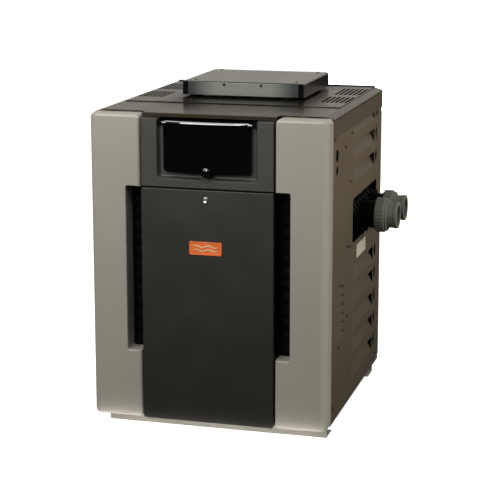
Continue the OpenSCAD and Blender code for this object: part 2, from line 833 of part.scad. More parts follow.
// Fins around each tube, in one comb-shaped ring profile
module tube_fins() {
    fin_r = tube_pitch / 2 - 0.3;
    fins = 28;
    reach = 196;
    step = 2 * reach / fins;
    root = tube_r + fit_gap;
    profile = [for (i = [0 : fins - 1], p = [
        [root + 1, -reach + i * step], [fin_r, -reach + i * step],
        [fin_r, -reach + i * step + 1], [root + 1, -reach + i * step + 1]
    ]) p];
    end = -reach + (fins - 1) * step + 1;
    color(c_copper) cab() for (i = [0 : tube_count - 1])
        translate([0, tube_y(i), tube_z]) rotate([0, 90, 0]) rotate_extrude()
            polygon(concat(profile, [[root, end], [root, -reach]]));
}

module tube_sheets() {
    color(c_galvanised) cab() both_sides() difference() {
        block([chamber_x + 4, hx_y0 + 2, chamber_z1 + 2], [chamber_x + 7, hx_y1 - 2, 484]);
        for (i = [0 : tube_count - 1]) rod_x(chamber_x, chamber_x + 10, tube_r + air, tube_y(i), tube_z);
    }
}

// Angle strips that lie in the valleys between the fins and guide the hot gas round them
module heat_baffles() {
    r = tube_pitch / 2;
    color(c_steel) cab() slab_x(-194, 194) for (i = [0 : tube_count - 2])
        translate([tube_y(i) + r, tube_z + r * 0.8])
            polygon([[-9, 4.5], [0, -2], [9, 4.5], [9, 6], [0, -0.5], [-9, 6]]);
}

// The moulded in-and-out header: it shows in the opening of the right side panel, and its
// two necks carry the unions
module water_header() {
    y0 = port_y0 + 8;
    y1 = port_y1 - 8;
    color(c_black) cab() difference() {
        union() {
            block([header_x0, hx_y0, tube_z - header_half_h], [header_face, hx_y1, tube_z + header_half_h]);
            rod_y(y0, y1, header_bulge_r, header_bulge_x, tube_z);
            for (y = [y0 : 34.5 : y1 + 1])
                rod_y(y - 2.5, y + 2.5, header_bulge_r + 2.5, header_bulge_x, tube_z);
            for (y = union_y) {
                rod_x(header_face, nut_x0 - 2, neck_r, y, tube_z);
                rod_x(284, 292, neck_r + 9, y, tube_z);
                rod_x(nut_x0 - 3, collar_x, thread_r, y, tube_z);
            }
        }
        block([header_x0 - 99, y0 - 99, tube_z - 99], [header_x0, y1 + 99, tube_z + 99]);
        for (y = union_y) rod_x(header_x0 + 20, collar_x + 1, socket_r, y, tube_z);
        for (y = [[hx_y0 + 8, hx_y - 4], [hx_y + 4, hx_y1 - 8]])
            block([header_x0 + 6, y[0], tube_z - 30], [header_face - 6, y[1], tube_z + 30]);
        for (i = [0 : tube_count - 1])
            rod_x(header_x0 - 1, header_x0 + 7, tube_r - 1.5, tube_y(i), tube_z);
    }
}

module return_header() {
    color(c_black) cab() difference() {
        union() {
            block([-header_face, hx_y0, tube_z - header_half_h], [-header_x0, hx_y1, tube_z + header_half_h]);
            for (i = [0 : 8]) translate([-header_face - 5, hx_y0 + 20 + 38 * i, tube_z - header_bolt_z])
                cube([6, 5, 2 * header_bolt_z]);
        }
        block([-header_face + 6, hx_y0 + 8, tube_z - 24], [-header_x0 - 6, hx_y1 - 8, tube_z + 24]);
        for (i = [0 : tube_count - 1]) rod_x(-header_x0 - 7, -header_x0 + 1, tube_r - 1.5, tube_y(i), tube_z);
    }
}

// Hexagon bolts along the upper and lower edges of both headers
module header_bolts() {
    color(c_steel) cab() both_sides() for (i = [0 : 5], z = [tube_z - header_bolt_z, tube_z + header_bolt_z])
        translate([header_x0 - 5, hx_y0 + 32 + 56 * i, z]) rotate([0, 90, 0]) hex_head(4, 5);
}

// Plugs in the undersides of the headers, by which the water is let out for the winter
module drain_plugs() {
    color(c_brass) cab() both_sides() translate([252, hx_y0 + 26, tube_z - header_half_h]) {
        translate([0, 0, -5]) cylinder(h = 5, r = 10);
        translate([0, 0, -14]) hex_head(8, 9);
    }
}

module union_o_rings() {
    color("#101010") cab() for (y = union_y) translate([collar_x, y, tube_z])
        rotate([0, 90, 0]) rotate_extrude() translate([30, 0.9]) square([3, 1.8], center = true);
}

// A ribbed ring nut, threaded on to the header's neck, with a lip that holds the connector
module union_nut(y) {
    ribs = 12;
    color(c_union) cab() translate([0, y, tube_z]) difference() {
        union() {
            rod_x(nut_x0, nut_x1, nut_r - 2.5, 0, 0);
            for (i = [0 : ribs - 1]) rotate([360 / ribs * i, 0, 0])
                block([nut_x0 + 1, -5, nut_r - 6], [nut_x1 - 3, 5, nut_r - 0.4]);
        }
        rod_x(nut_x0 - 1, collar_x + 6, thread_r + air, 0, 0);
        rod_x(nut_x0, nut_x1 + 1, connector_r + air, 0, 0);
    }
}

module front_union_nut() { union_nut(union_y[0]); }

module rear_union_nut() { union_nut(union_y[1]); }

// The end connector: a collar under the nut's lip and a socket for the pipe
module union_connector(y) {
    collar_l = 3.8;
    color(c_union) cab() difference() {
        union() {
            rod_x(collar_x + 1.8, collar_x + 1.8 + collar_l, thread_r - 0.2, y, tube_z);
            rod_x(collar_x + 3, union_x, connector_r, y, tube_z);
        }
        rod_x(collar_x, union_x - socket_l + 1, 20, y, tube_z);
        rod_x(union_x - socket_l, union_x + 1, socket_r, y, tube_z);
    }
}

module front_connector() { union_connector(union_y[0]); }

module rear_connector() { union_connector(union_y[1]); }

// ---------------------------------------------------------------- electrical
// Sensor wells on the header's front end: two high-limit switches and a temperature probe
module water_sensors() {
    y0 = hx_y0 - 14;
    color(c_brass) cab() {
        for (x = [244, 260]) rod_y(y0, hx_y0, 6.5, x, tube_z + 20);
        rod_y(y0 - 6, hx_y0, 5, 252, tube_z - 6);
        rod_y(y0, hx_y0, 9, 252, tube_z - 30);
    }
}

module control_shelf() {
    color(c_galvanised) cab() {
        block([-205, 120, 290], [205, 121.5, 545]);
        both_sides() block([205, 120, 320], [side_in, 121.5, 345]);
        for (z = [288.5, 545]) block([-205, 106, z], [205, 121.5, z + 1.5]);
    }
}

module control_board() {
    color("#1f5a3a") cab() {
        block([20, 110, 320], [170, 111.6, 500]);
        for (x = [28, 162], z = [328, 492]) rod_y(111.6, 120, 3, x, z);
        for (i = [0 : 4]) block([34 + 26 * i, 96, 335], [52 + 26 * i, 110, 357]);
        block([40, 104, 380], [80, 110, 420]);
        block([100, 100, 400], [150, 110, 470]);
        block([-120, 72, 320], [-56, 120, 374]);
        block([-106, 64, 326], [-70, 72, 368]);
    }
}

// The supply box behind the knock-outs, open towards the side panel
module junction_box() {
    color(c_galvanised) cab() tray(
        [222, 60, 560], [side_in - 0.2, 118, 652], [223.5, 61.5, 561.5], [side_in + 1, 116.5, 650.5]
    );
}

// A bundle of wires from the supply box down to the control board and the gas valve
module wire_harness() {
    r = 5;
    y = 100;
    color("#2a2a2c") cab() {
        rod_z(420, 560, r, 236, y);
        translate([236, y, 420]) sphere(r);
        rod_x(171, 236, r, y, 420);
        rod_z(250, 420, r, 190, y);
        translate([190, y, 250]) sphere(r);
        rod_x(-20, 190, r, y, 250);
        translate([-20, y, 250]) sphere(r);
        rod_y(y, 130, r, -20, 250);
        translate([-20, 130, 250]) sphere(r);
        rod_z(valve_top, 250, r, -20, 130);
    }
}

// ---------------------------------------------------------------- trim
// Pan-head screws: on both side panels, given as [y, z], and on the vent cap's front and top
module jacket_screws() {
    spots = [
        [245, 651], [178, 628], [238, 538], [209, 388], [239, 382], [128, 314], [210, 220], [121, 168],
        [62, 40], [62, 660], [570, 30], [570, 655]
    ];
    color("#3a342c") cab() {
        both_sides() for (s = spots) rod_x(side_x, side_x + 1.4, 3.6, s[0], s[1]);
        for (x = [-46, 46]) rod_y(cap_y0 - 0.8, cap_y0 + 1, 3.2, x, cap_z1 - 7);
        both_sides() for (y = [cap_y0 + 29, cap_y0 + cap_d - 17])
            translate([126, y, cap_z1]) cylinder(h = 1.8, r = 4);
    }
}

// ---------------------------------------------------------------- assembly
front_rail();
rear_rail();
base_pan();
door_sill();
left_side_panel();
right_side_panel();
rear_panel();
top_lid();
top_vent_panel();
inner_front_panel();
left_corner_panel();
right_corner_panel();
control_bezel();
side_louvres();
side_stiffeners();
front_door();
badge();
door_latch();
control_cover();
cover_hinge_pins();
cover_latch();
display_housing();
display_glass();
display_board();
button_mode();
button_up();
button_down();
vent_cap();
vent_cap_front();
vent_cap_brackets();
jacket_screws();
flue_collector();
combustion_chamber();
refractory_boards();
burner_tray();
burners();
gas_manifold();
gas_orifices();
gas_valve();
gas_valve_knob();
gas_inlet_pipe();
pilot_burner();
heat_exchanger_tubes();
tube_fins();
tube_sheets();
heat_baffles();
water_header();
return_header();
header_bolts();
drain_plugs();
union_o_rings();
front_union_nut();
rear_union_nut();
front_connector();
rear_connector();
water_sensors();
control_shelf();
control_board();
junction_box();
wire_harness();
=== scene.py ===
"""The looks of a gas pool heater: formed sheet metal, mouldings and finishes around its CAD frame.

Shapes are built in cabinet millimetres: x from the middle of the cabinet, y back from the
faces of the corner panels, z up from the cabinet's bottom edge.
"""

import json
import math

import bmesh
import bpy
from mathutils import Matrix, Vector


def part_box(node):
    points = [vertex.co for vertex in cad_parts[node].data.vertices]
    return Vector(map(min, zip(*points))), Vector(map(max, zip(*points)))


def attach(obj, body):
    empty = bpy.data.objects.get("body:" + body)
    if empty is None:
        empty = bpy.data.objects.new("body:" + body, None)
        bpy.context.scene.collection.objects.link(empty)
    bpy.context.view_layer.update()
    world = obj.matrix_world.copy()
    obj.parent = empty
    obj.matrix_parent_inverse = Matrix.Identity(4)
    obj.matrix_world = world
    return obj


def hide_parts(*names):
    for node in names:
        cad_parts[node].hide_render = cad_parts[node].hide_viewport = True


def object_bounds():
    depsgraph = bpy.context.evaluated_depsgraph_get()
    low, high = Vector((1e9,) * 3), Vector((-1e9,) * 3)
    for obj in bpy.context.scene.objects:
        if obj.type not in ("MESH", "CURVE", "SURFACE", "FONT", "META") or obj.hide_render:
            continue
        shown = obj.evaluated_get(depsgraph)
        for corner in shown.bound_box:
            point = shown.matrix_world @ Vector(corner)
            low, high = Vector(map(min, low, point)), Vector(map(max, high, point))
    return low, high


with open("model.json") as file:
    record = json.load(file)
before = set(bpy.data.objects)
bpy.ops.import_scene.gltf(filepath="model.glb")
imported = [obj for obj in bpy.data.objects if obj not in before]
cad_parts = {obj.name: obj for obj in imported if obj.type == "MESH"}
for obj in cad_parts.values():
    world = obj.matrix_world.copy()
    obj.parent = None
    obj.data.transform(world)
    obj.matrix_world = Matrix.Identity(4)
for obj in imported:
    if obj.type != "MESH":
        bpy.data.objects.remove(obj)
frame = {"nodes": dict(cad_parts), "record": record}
cad_lo, cad_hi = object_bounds()
cad_nodes = frame["nodes"]

MM = 0.001
ORIGIN = Vector((0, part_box("right_corner_panel")[0].y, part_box("right_corner_panel")[0].z))
TO_FRAME = Matrix.Translation(ORIGIN) @ Matrix.Scale(MM, 4)
FACING_RIGHT = Matrix.Rotation(math.radians(90), 4, "Y")
FACING_FRONT = Matrix.Rotation(math.radians(90), 4, "X")
SHEET = 1.5
WALL = 2.5
COVER_KNOB_Z = 586.8
COVER_HINGE = (6, 694)  # y and z
DOOR_LATCH = (-2, 523.7)  # x and z
DOOR_PIVOT = (9, 9)  # y and z
FINISH = {part["node"]: part["material_slot"] for part in frame["record"]["subparts"]}


# ---------------------------------------------------------------- places
def both_sides(near, far):
    """The stretch of x between two distances from the middle, on the left and on the right."""
    return [(-far, -near), (near, far)]


def cab_box(node):
    """The lowest and highest corners of a CAD node, in cabinet millimetres."""
    lo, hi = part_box(node)
    return (lo - ORIGIN) / MM, (hi - ORIGIN) / MM


def islands(node, gap=1.0):
    """Boxes round the vertices of a CAD node that lie together, in cabinet millimetres."""
    boxes = []
    for vertex in cad_nodes[node].data.vertices:
        point = (vertex.co - ORIGIN) / MM
        near = [b for b in boxes if all(b[0][i] - gap <= point[i] <= b[1][i] + gap for i in range(3))]
        lo = Vector(min([point[i]] + [b[0][i] for b in near]) for i in range(3))
        hi = Vector(max([point[i]] + [b[1][i] for b in near]) for i in range(3))
        boxes = [b for b in boxes if b not in near] + [(lo, hi)]
    return boxes


# ---------------------------------------------------------------- mesh helpers
def circle(cx, cy, r, steps=32):
    """Points of a circle, anticlockwise."""
    turns = [2 * math.pi * i / steps for i in range(steps)]
    return [(cx + r * math.cos(a), cy + r * math.sin(a)) for a in turns]


def round_rect(x0, x1, y0, y1, r, steps=6):
    """Points of a rectangle with round corners, anticlockwise from its lower left corner."""
    r = max(r, 0.02)
    corners = [(x0 + r, y0 + r, 180), (x1 - r, y0 + r, 270), (x1 - r, y1 - r, 0), (x0 + r, y1 - r, 90)]
    points = []
    for cx, cy, start in corners:
        for i in range(steps + 1):
            a = math.radians(start + 90 * i / steps)
            points.append((cx + r * math.cos(a), cy + r * math.sin(a)))
    return points


def rounded_path(points, radius, steps=5):
    """An open path through the points, with its corners bent to about the radius."""
    path = [Vector(points[0])]
    for before, corner, after in zip(points, points[1:], points[2:]):
        a, b, c = Vector(before), Vector(corner), Vector(after)
        half = (a - b).angle(c - b) / 2
        reach = min(radius / math.tan(half), (a - b).length / 2, (c - b).length / 2)
        start = b + (a - b).normalized() * reach
        end = b + (c - b).normalized() * reach
        for i in range(steps + 1):
            t = i / steps
            path.append((1 - t) ** 2 * start + 2 * t * (1 - t) * b + t * t * end)
    return path + [Vector(points[-1])]


def thick(path, t):
    """The closed outline of a sheet: one face follows the path, the other is t to its left."""
    other = []
    for i, point in enumerate(path):
        along = (path[min(i + 1, len(path) - 1)] - path[max(i - 1, 0)]).normalized()
        other.append(point + Vector((-along.y, along.x)) * t)
    return path + other[::-1]


def place(u, v, w, axis):
    """The point that lies at w along the axis, and at u and v along the two others."""
    return {"x": Vector((w, u, v)), "y": Vector((u, w, v)), "z": Vector((u, v, w))}[axis]


def ring(outline, w, axis):
    """The outline's points at w along the axis."""
    return [place(u, v, w, axis) for u, v in outline]


def loft(rings):
    """A closed solid through rings that all have the same number of points."""
    bm = bmesh.new()
    rows = [[bm.verts.new(p) for p in ring] for ring in rings]
    for low, high in zip(rows, rows[1:]):
        for i in range(len(low)):
            j = (i + 1) % len(low)
            bm.faces.new((low[i], low[j], high[j], high[i]))
    bm.faces.new(rows[0][::-1])
    bm.faces.new(rows[-1])
    bmesh.ops.recalc_face_normals(bm, faces=bm.faces)
    return bm


def prism(outline, axis, low, high):
    """An outline drawn out along an axis."""
    return loft([ring(outline, low, axis), ring(outline, high, axis)])


def front_view(lo, hi, r, inset=0.0):
    """The front outline of a box, with corners rounded by r and drawn in by the inset."""
    return round_rect(lo.x + inset, hi.x - inset, lo.z + inset, hi.z - inset, r)


def top_view(lo, hi, r, inset=0.0):
    """The outline of a box from above, with corners rounded by r and drawn in by the inset."""
    return round_rect(lo.x + inset, hi.x - inset, lo.y + inset, hi.y - inset, r)


def block(lo, hi, r=0.3):
    """A box whose edges along X are rounded."""
    return prism(round_rect(lo[1], hi[1], lo[2], hi[2], r, 2), "x", lo[0], hi[0])


def lathe(profile, matrix, steps=96, shape=None):
    """A solid of revolution round the local Z axis, from a closed outline of (radius, height)."""
    bm = bmesh.new()
    rows = []
    for i in range(steps):
        turn = 2 * math.pi * i / steps
        row = []
        for r, h in profile:
            r = shape(r, h, turn) if shape else r
            row.append(bm.verts.new((r * math.cos(turn), r * math.sin(turn), h)))
        rows.append(row)
    count = len(profile)
    for i in range(steps):
        here, there = rows[i], rows[(i + 1) % steps]
        for j in range(count):
            k = (j + 1) % count
            bm.faces.new((here[j], there[j], there[k], here[k]))
    bmesh.ops.remove_doubles(bm, verts=bm.verts, dist=0.001)
    bmesh.ops.dissolve_degenerate(bm, edges=bm.edges, dist=0.0005)
    bmesh.ops.recalc_face_normals(bm, faces=bm.faces)
    bm.transform(matrix)
    return bm


def plate(outline, holes, t, edge=0.3):
    """A flat plate in the XY plane, from z = 0 to t, with soft edges and holes."""
    curve = bpy.data.curves.new("plate", "CURVE")
    curve.dimensions = "2D"
    curve.fill_mode = "BOTH"
    curve.extrude = t / 2 - edge
    curve.bevel_depth = edge
    curve.bevel_resolution = 1
    curve.offset = -edge
    for points in [outline, *holes]:
        spline = curve.splines.new("POLY")
        spline.points.add(len(points) - 1)
        for target, (x, y) in zip(spline.points, points):
            target.co = (x, y, 0, 1)
        spline.use_cyclic_u = True
    holder = bpy.data.objects.new("plate", curve)
    bpy.context.scene.collection.objects.link(holder)
    bm = evaluated(holder)
    bpy.data.curves.remove(curve)
    bmesh.ops.remove_doubles(bm, verts=bm.verts, dist=0.001)
    bmesh.ops.translate(bm, verts=bm.verts, vec=(0, 0, t / 2))
    return bm


def evaluated(obj):
    """The finished mesh of an object as a bmesh; the object is removed."""
    mesh = bpy.data.meshes.new_from_object(obj.evaluated_get(bpy.context.evaluated_depsgraph_get()))
    bm = bmesh.new()
    bm.from_mesh(mesh)
    bpy.data.meshes.remove(mesh)
    bpy.data.objects.remove(obj)
    return bm


def as_object(bm, name):
    """A linked object that holds the bmesh, which is freed."""
    mesh = bpy.data.meshes.new(name)
    bm.to_mesh(mesh)
    bm.free()
    obj = bpy.data.objects.new(name, mesh)
    bpy.context.scene.collection.objects.link(obj)
    return obj


def cut(base, *tools):
    """The base without the tools."""
    target = as_object(base, "target")
    cutters = [as_object(tool, "tool") for tool in tools]
    for cutter in cutters:
        modifier = target.modifiers.new("cut", "BOOLEAN")
        modifier.operation = "DIFFERENCE"
        modifier.solver = "EXACT"
        modifier.object = cutter
    bm = evaluated(target)
    for cutter in cutters:
        bpy.data.objects.remove(cutter)
    return bm


def joined(*parts):
    """Several bmeshes in one."""
    whole = bmesh.new()
    for part in parts:
        mesh = bpy.data.meshes.new("part")
        part.to_mesh(mesh)
        part.free()
        whole.from_mesh(mesh)
        bpy.data.meshes.remove(mesh)
    return whole


def mirrored(bm):
    """A copy on the other side of the cabinet."""
    twin = bm.copy()
    bmesh.ops.scale(twin, vec=(-1, 1, 1), verts=twin.verts)
    bmesh.ops.reverse_faces(twin, faces=twin.faces)
    return twin


def soften(obj, width):
    """Rounds an object's sharp edges."""
    bevel = obj.modifiers.new("edges", "BEVEL")
    bevel.width = width * MM
    bevel.segments = 2
    bevel.limit_method = "ANGLE"
    bevel.angle_limit = math.radians(35)
    bevel.use_clamp_overlap = True


def flatten_shading(obj):
    """Keeps flat faces flat in the shading beside rounded ones."""
    flat = obj.modifiers.new("flat_faces", "WEIGHTED_NORMAL")
    flat.keep_sharp = True


def piece(bm, name, finish, body="cabinet", nodes=(), edge=0.0, material=None):
    """A finished piece in the frame: it rides on a body and stands for the CAD nodes named."""
    bm.transform(TO_FRAME)
    obj = as_object(bm, name)
    obj.data.materials.append(material or coats[finish])
    obj.data.shade_smooth()
    obj.data.set_sharp_from_angle(angle=math.radians(38))
    if edge:
        soften(obj, edge)
    flatten_shading(obj)
    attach(obj, body)
    if nodes:
        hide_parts(*nodes)
    return obj


def dress(node, edge=0.3):
    """A CAD node that is shown as it is, with its finish and softened edges."""
    obj = cad_nodes[node]
    obj.data.materials.clear()
    obj.data.materials.append(coats[FINISH[node]])
    weld = obj.modifiers.new("weld", "WELD")
    weld.merge_threshold = 0.002 * MM
    if edge:
        soften(obj, edge)
        flatten_shading(obj)


# ---------------------------------------------------------------- material helpers
class NodeTree:
    """A node tree, and short calls for what goes into any tree."""

    def __init__(self, owner):
        owner.use_nodes = True
        self.tree = owner.node_tree

    def node(self, kind, **settings):
        made = self.tree.nodes.new(kind)
        for key, value in settings.items():
            setattr(made, key, value)
        return made

    def link(self, source, target):
        self.tree.links.new(source, target)

    def fade(self, source, low, high, at=0.0, to=1.0):
        """Maps a value from the range at..to onto low..high."""
        ranged = self.node("ShaderNodeMapRange")
        ranged.inputs["From Min"].default_value = at
        ranged.inputs["From Max"].default_value = to
        ranged.inputs["To Min"].default_value = low
        ranged.inputs["To Max"].default_value = high
        self.link(source, ranged.inputs["Value"])
        return ranged.outputs["Result"]

    def mix(self, factor, first, second):
        """Mixes two colours, each a tuple or another node's output."""
        mix = self.node("ShaderNodeMix", data_type="RGBA")
        self.link(factor, mix.inputs[0])
        for socket, value in ((mix.inputs[6], first), (mix.inputs[7], second)):
            if isinstance(value, tuple):
                socket.default_value = (*value, 1)
            else:
                self.link(value, socket)
        return mix.outputs[2]

    def calc(self, operation, first, second=None):
        """The result of a Math node, whose second value is left out, a number or an output."""
        result = self.node("ShaderNodeMath", operation=operation)
        self.link(first, result.inputs[0])
        if isinstance(second, float):
            result.inputs[1].default_value = second
        elif second is not None:
            self.link(second, result.inputs[1])
        return result.outputs[0]

    def axes(self, vector):
        """The three numbers of a vector, as the outputs X, Y and Z."""
        split = self.node("ShaderNodeSeparateXYZ")
        self.link(vector, split.inputs[0])
        return split.outputs


class Shader(NodeTree):
    """A material with one Principled shader."""

    def __init__(self, name, color, roughness, metallic=0.0):
        self.material = bpy.data.materials.new(name)
        super().__init__(self.material)
        self.bsdf = self.tree.nodes["Principled BSDF"]
        self.bsdf.inputs["Base Color"].default_value = (*color, 1)
        self.bsdf.inputs["Roughness"].default_value = roughness
        self.bsdf.inputs["Metallic"].default_value = metallic
        self.position = self.node("ShaderNodeTexCoord").outputs["Object"]

    def stretched(self, x, y, z):
        """The object's own coordinates, scaled along each axis."""
        mapping = self.node("ShaderNodeMapping")
        mapping.inputs["Scale"].default_value = (x, y, z)
        self.link(self.position, mapping.inputs["Vector"])
        return mapping.outputs["Vector"]

    def noise(self, scale, detail=3.0, vector=None):
        noise = self.node("ShaderNodeTexNoise")
        noise.inputs["Scale"].default_value = scale
        noise.inputs["Detail"].default_value = detail
        self.link(vector or self.position, noise.inputs["Vector"])
        return noise.outputs["Fac"]

    def cells(self, scale):
        cells = self.node("ShaderNodeTexVoronoi")
        cells.inputs["Scale"].default_value = scale
        self.link(self.position, cells.inputs["Vector"])
        return cells

    def tint(self, color, share, scale, detail=3.0):
        """The colour, cloudy by that share to both sides."""
        dark = tuple(c * (1 - share) for c in color)
        light = tuple(min(1.0, c * (1 + share)) for c in color)
        factor = self.fade(self.noise(scale, detail), 0, 1, 0.3, 0.7)
        return self.mix(factor, dark, light)

    def edges(self):
        """A mask of the surface near edges, where a finish wears first."""
        rounded = self.node("ShaderNodeBevel", samples=4)
        rounded.inputs["Radius"].default_value = 1.6 * MM
        dot = self.node("ShaderNodeVectorMath", operation="DOT_PRODUCT")
        self.link(rounded.outputs["Normal"], dot.inputs[0])
        self.link(self.node("ShaderNodeNewGeometry").outputs["Normal"], dot.inputs[1])
        return self.fade(dot.outputs["Value"], 1, 0, 0.80, 0.97)

    def height(self, low, high):
        """Runs from low at the floor to high near the top of the cabinet."""
        return self.fade(self.axes(self.position)["Z"], low, high, 0.02, 0.62)

    def times(self, first, second):
        return self.calc("MULTIPLY", first, second)

    def color(self, source):
        self.link(source, self.bsdf.inputs["Base Color"])

    def rough(self, source, low, high):
        self.link(self.fade(source, low, high, 0.3, 0.7), self.bsdf.inputs["Roughness"])

    def bump(self, height, strength, depth_mm):
        """Adds relief; a second call lies on top of the first."""
        bump = self.node("ShaderNodeBump")
        bump.inputs["Strength"].default_value = strength
        bump.inputs["Distance"].default_value = depth_mm * MM
        self.link(height, bump.inputs["Height"])
        normal = self.bsdf.inputs["Normal"]
        if normal.links:
            self.link(normal.links[0].from_socket, bump.inputs["Normal"])
        self.link(bump.outputs["Normal"], normal)

    def coat(self, weight, roughness):
        self.bsdf.inputs["Coat Weight"].default_value = weight
        self.bsdf.inputs["Coat Roughness"].default_value = roughness


def painted(name, color, roughness=0.42, cloud=0.05, wear=None, peel=0.3, dull=0.0, gleam=0.5):
    """Powder coat on sheet steel: orange peel, faint clouds, dust, and wear along its edges.

    It can also be painted darker towards the floor, as painted shade.
    """
    s = Shader(name, color, roughness)
    s.bsdf.inputs["Specular IOR Level"].default_value = gleam
    tone = s.tint(color, cloud, 6, 1)
    # Painted shade: the tone is painted darker towards the floor.
    if dull:
        tone = s.mix(s.height(dull, 0.0), tone, tuple(c * 0.25 for c in color))
    speck = s.fade(s.noise(1400, 2), 0, 0.06, 0.56, 0.75)
    tone = s.mix(speck, tone, tuple(min(1.0, c * 1.5 + 0.02) for c in color))
    if wear:
        rubbed = s.times(s.edges(), s.fade(s.noise(60, 4), 0, 0.8, 0.42, 0.62))
        tone = s.mix(rubbed, tone, wear)
    s.color(tone)
    uneven = min(0.045, 0.005 + 0.15 * peel)
    s.rough(s.noise(12, 2), roughness - uneven, roughness + uneven)
    s.bump(s.noise(3, 1), 0.3 * peel, 0.5)
    s.bump(s.noise(520, 1), peel, 0.04)
    return s


def paint(*args, **settings):
    """The material of a painted finish."""
    return painted(*args, **settings).material


def lid_paint():
    """The jacket's paint, with painted shade that darkens the roof against its side flanges and a painted
    shadow of the vent cap on the roof in front of it.
    """
    s = painted("lid_paint", (0.032, 0.023, 0.013), 0.25, 0.02, wear=JACKET_WEAR, peel=0.012)
    axes = s.axes(s.position)
    # Painted shadow of the vent cap: the roof in front of the cap is painted nearly black and loses its
    # gloss.
    ahead = s.fade(axes["Y"], 0.25, 1.0, -0.29, -0.07)
    painted_cap_shadow = s.times(ahead, s.fade(s.calc("ABSOLUTE", axes["X"]), 1.0, 0.0, 0.14, 0.20))
    s.link(s.fade(painted_cap_shadow, 0.14, 0.0), s.bsdf.inputs["Specular IOR Level"])
    roof = s.mix(painted_cap_shadow, s.bsdf.inputs["Base Color"].links[0].from_socket, (0.008, 0.007, 0.005))
    # Painted shade: the side flanges take a lighter colour than the roof, though both are one painted
    # sheet.
    flange = s.fade(axes["Z"], 1.0, 0.0, 0.738, 0.745)
    s.color(s.mix(flange, roof, (0.125, 0.10, 0.070)))
    return s.material


def moulding(name, color, roughness=0.5, grain=0.3, gleam=0.5):
    """Moulded plastic: fine leathery grain, faint flow clouds, rubbed edges."""
    s = Shader(name, color, roughness)
    s.bsdf.inputs["Specular IOR Level"].default_value = gleam
    tone = s.tint(color, 0.06, 11, 4)
    rubbed = s.times(s.edges(), s.fade(s.noise(90, 3), 0, 0.35, 0.4, 0.6))
    s.color(s.mix(rubbed, tone, tuple(min(1.0, c * 1.5 + 0.03) for c in color)))
    s.rough(s.noise(30, 3), roughness - 0.05, roughness + 0.06)
    s.bump(s.cells(1100).outputs["Distance"], grain, 0.04)
    return s.material


def metal(name, color, roughness=0.35, brushed=(1, 1, 1), grain=900, cloud=0.08):
    """Bare metal, brushed along the axis whose number in brushed is small."""
    s = Shader(name, color, roughness, metallic=1.0)
    lines = s.noise(grain, 3, s.stretched(*brushed))
    clouds = s.tint(color, cloud, 14, 5)
    streak = s.fade(lines, 0, 0.35, 0.45, 0.7)
    s.color(s.mix(streak, clouds, tuple(c * 0.72 for c in color)))
    s.rough(lines, roughness - 0.08, roughness + 0.12)
    s.bump(lines, 0.18, 0.02)
    return s.material


# ---------------------------------------------------------------- materials
JACKET = (0.146, 0.116, 0.079)
JACKET_WEAR = (0.2, 0.17, 0.13)


def grey_panel_paint():
    """Warm grey satin finish of the corner panels, with painted shade that makes it a little darker towards
    the floor.
    """
    color = (0.385, 0.361, 0.304)
    s = Shader("panel_paint", color, 0.36)
    tone = s.tint(color, 0.03, 5, 2)
    # Painted shade: the tone is painted a little darker towards the floor.
    tone = s.mix(s.height(0.1, 0.0), tone, tuple(c * 0.72 for c in color))
    rubbed = s.times(s.edges(), s.fade(s.noise(50, 4), 0, 0.4, 0.45, 0.62))
    s.color(s.mix(rubbed, tone, (0.50, 0.48, 0.43)))
    s.rough(s.noise(18, 2), 0.32, 0.40)
    s.bump(s.noise(2.5, 1), 0.25, 0.5)
    s.bump(s.noise(620, 1), 0.25, 0.04)
    s.coat(0.15, 0.25)
    return s.material


def gloss_black():
    """High-gloss black plastic with hair scratches and a little dust."""
    color = (0.0015, 0.0015, 0.002)
    s = Shader("gloss_black", color, 0.09)
    dust = s.fade(s.noise(700, 2), 0, 0.02, 0.60, 0.78)
    s.color(s.mix(dust, color, (0.06, 0.06, 0.06)))
    s.rough(s.noise(40, 4), 0.06, 0.13)
    s.bump(s.noise(300, 2, s.stretched(1, 0.1, 1)), 0.03, 0.01)
    s.coat(1.0, 0.03)
    s.bsdf.inputs["Coat IOR"].default_value = 2.0
    return s.material


def galvanised():
    """Zinc-coated sheet with its spangle."""
    s = Shader("galvanised", (0.36, 0.37, 0.38), 0.5, metallic=0.7)
    spangle = s.cells(95)
    s.color(s.mix(spangle.outputs["Color"], (0.29, 0.305, 0.31), (0.43, 0.445, 0.455)))
    s.rough(s.noise(60, 3), 0.34, 0.52)
    s.bump(spangle.outputs["Distance"], 0.12, 0.03)
    return s.material


def cap_strip_metal():
    """Satin steel strip, brushed lengthwise, with painted shade that darkens it towards both ends."""
    color = (0.23, 0.24, 0.20)
    s = Shader("satin_steel", color, 0.45, metallic=0.5)
    lines = s.noise(420, 3, s.stretched(0.04, 1, 1))
    tone = s.mix(s.fade(lines, 0, 0.4, 0.4, 0.65), color, tuple(c * 0.78 for c in color))
    # Painted shade: the strip is painted nearly black towards both ends.
    off_middle = s.calc("ABSOLUTE", s.axes(s.position)["X"])
    dull = s.fade(off_middle, 0, 0.93, 0.07, 0.125)
    s.color(s.mix(dull, tone, (0.022, 0.026, 0.027)))
    s.rough(lines, 0.36, 0.5)
    s.bump(lines, 0.2, 0.02)
    return s.material


def copper():
    """Copper that the burner gas has turned brown in patches."""
    s = Shader("copper", (0.62, 0.30, 0.17), 0.35, metallic=1.0)
    s.color(s.mix(s.fade(s.noise(22, 5), 0, 1, 0.4, 0.65), (0.66, 0.33, 0.19), (0.22, 0.11, 0.07)))
    s.rough(s.noise(50, 4), 0.28, 0.5)
    s.bump(s.noise(240, 3), 0.15, 0.04)
    return s.material


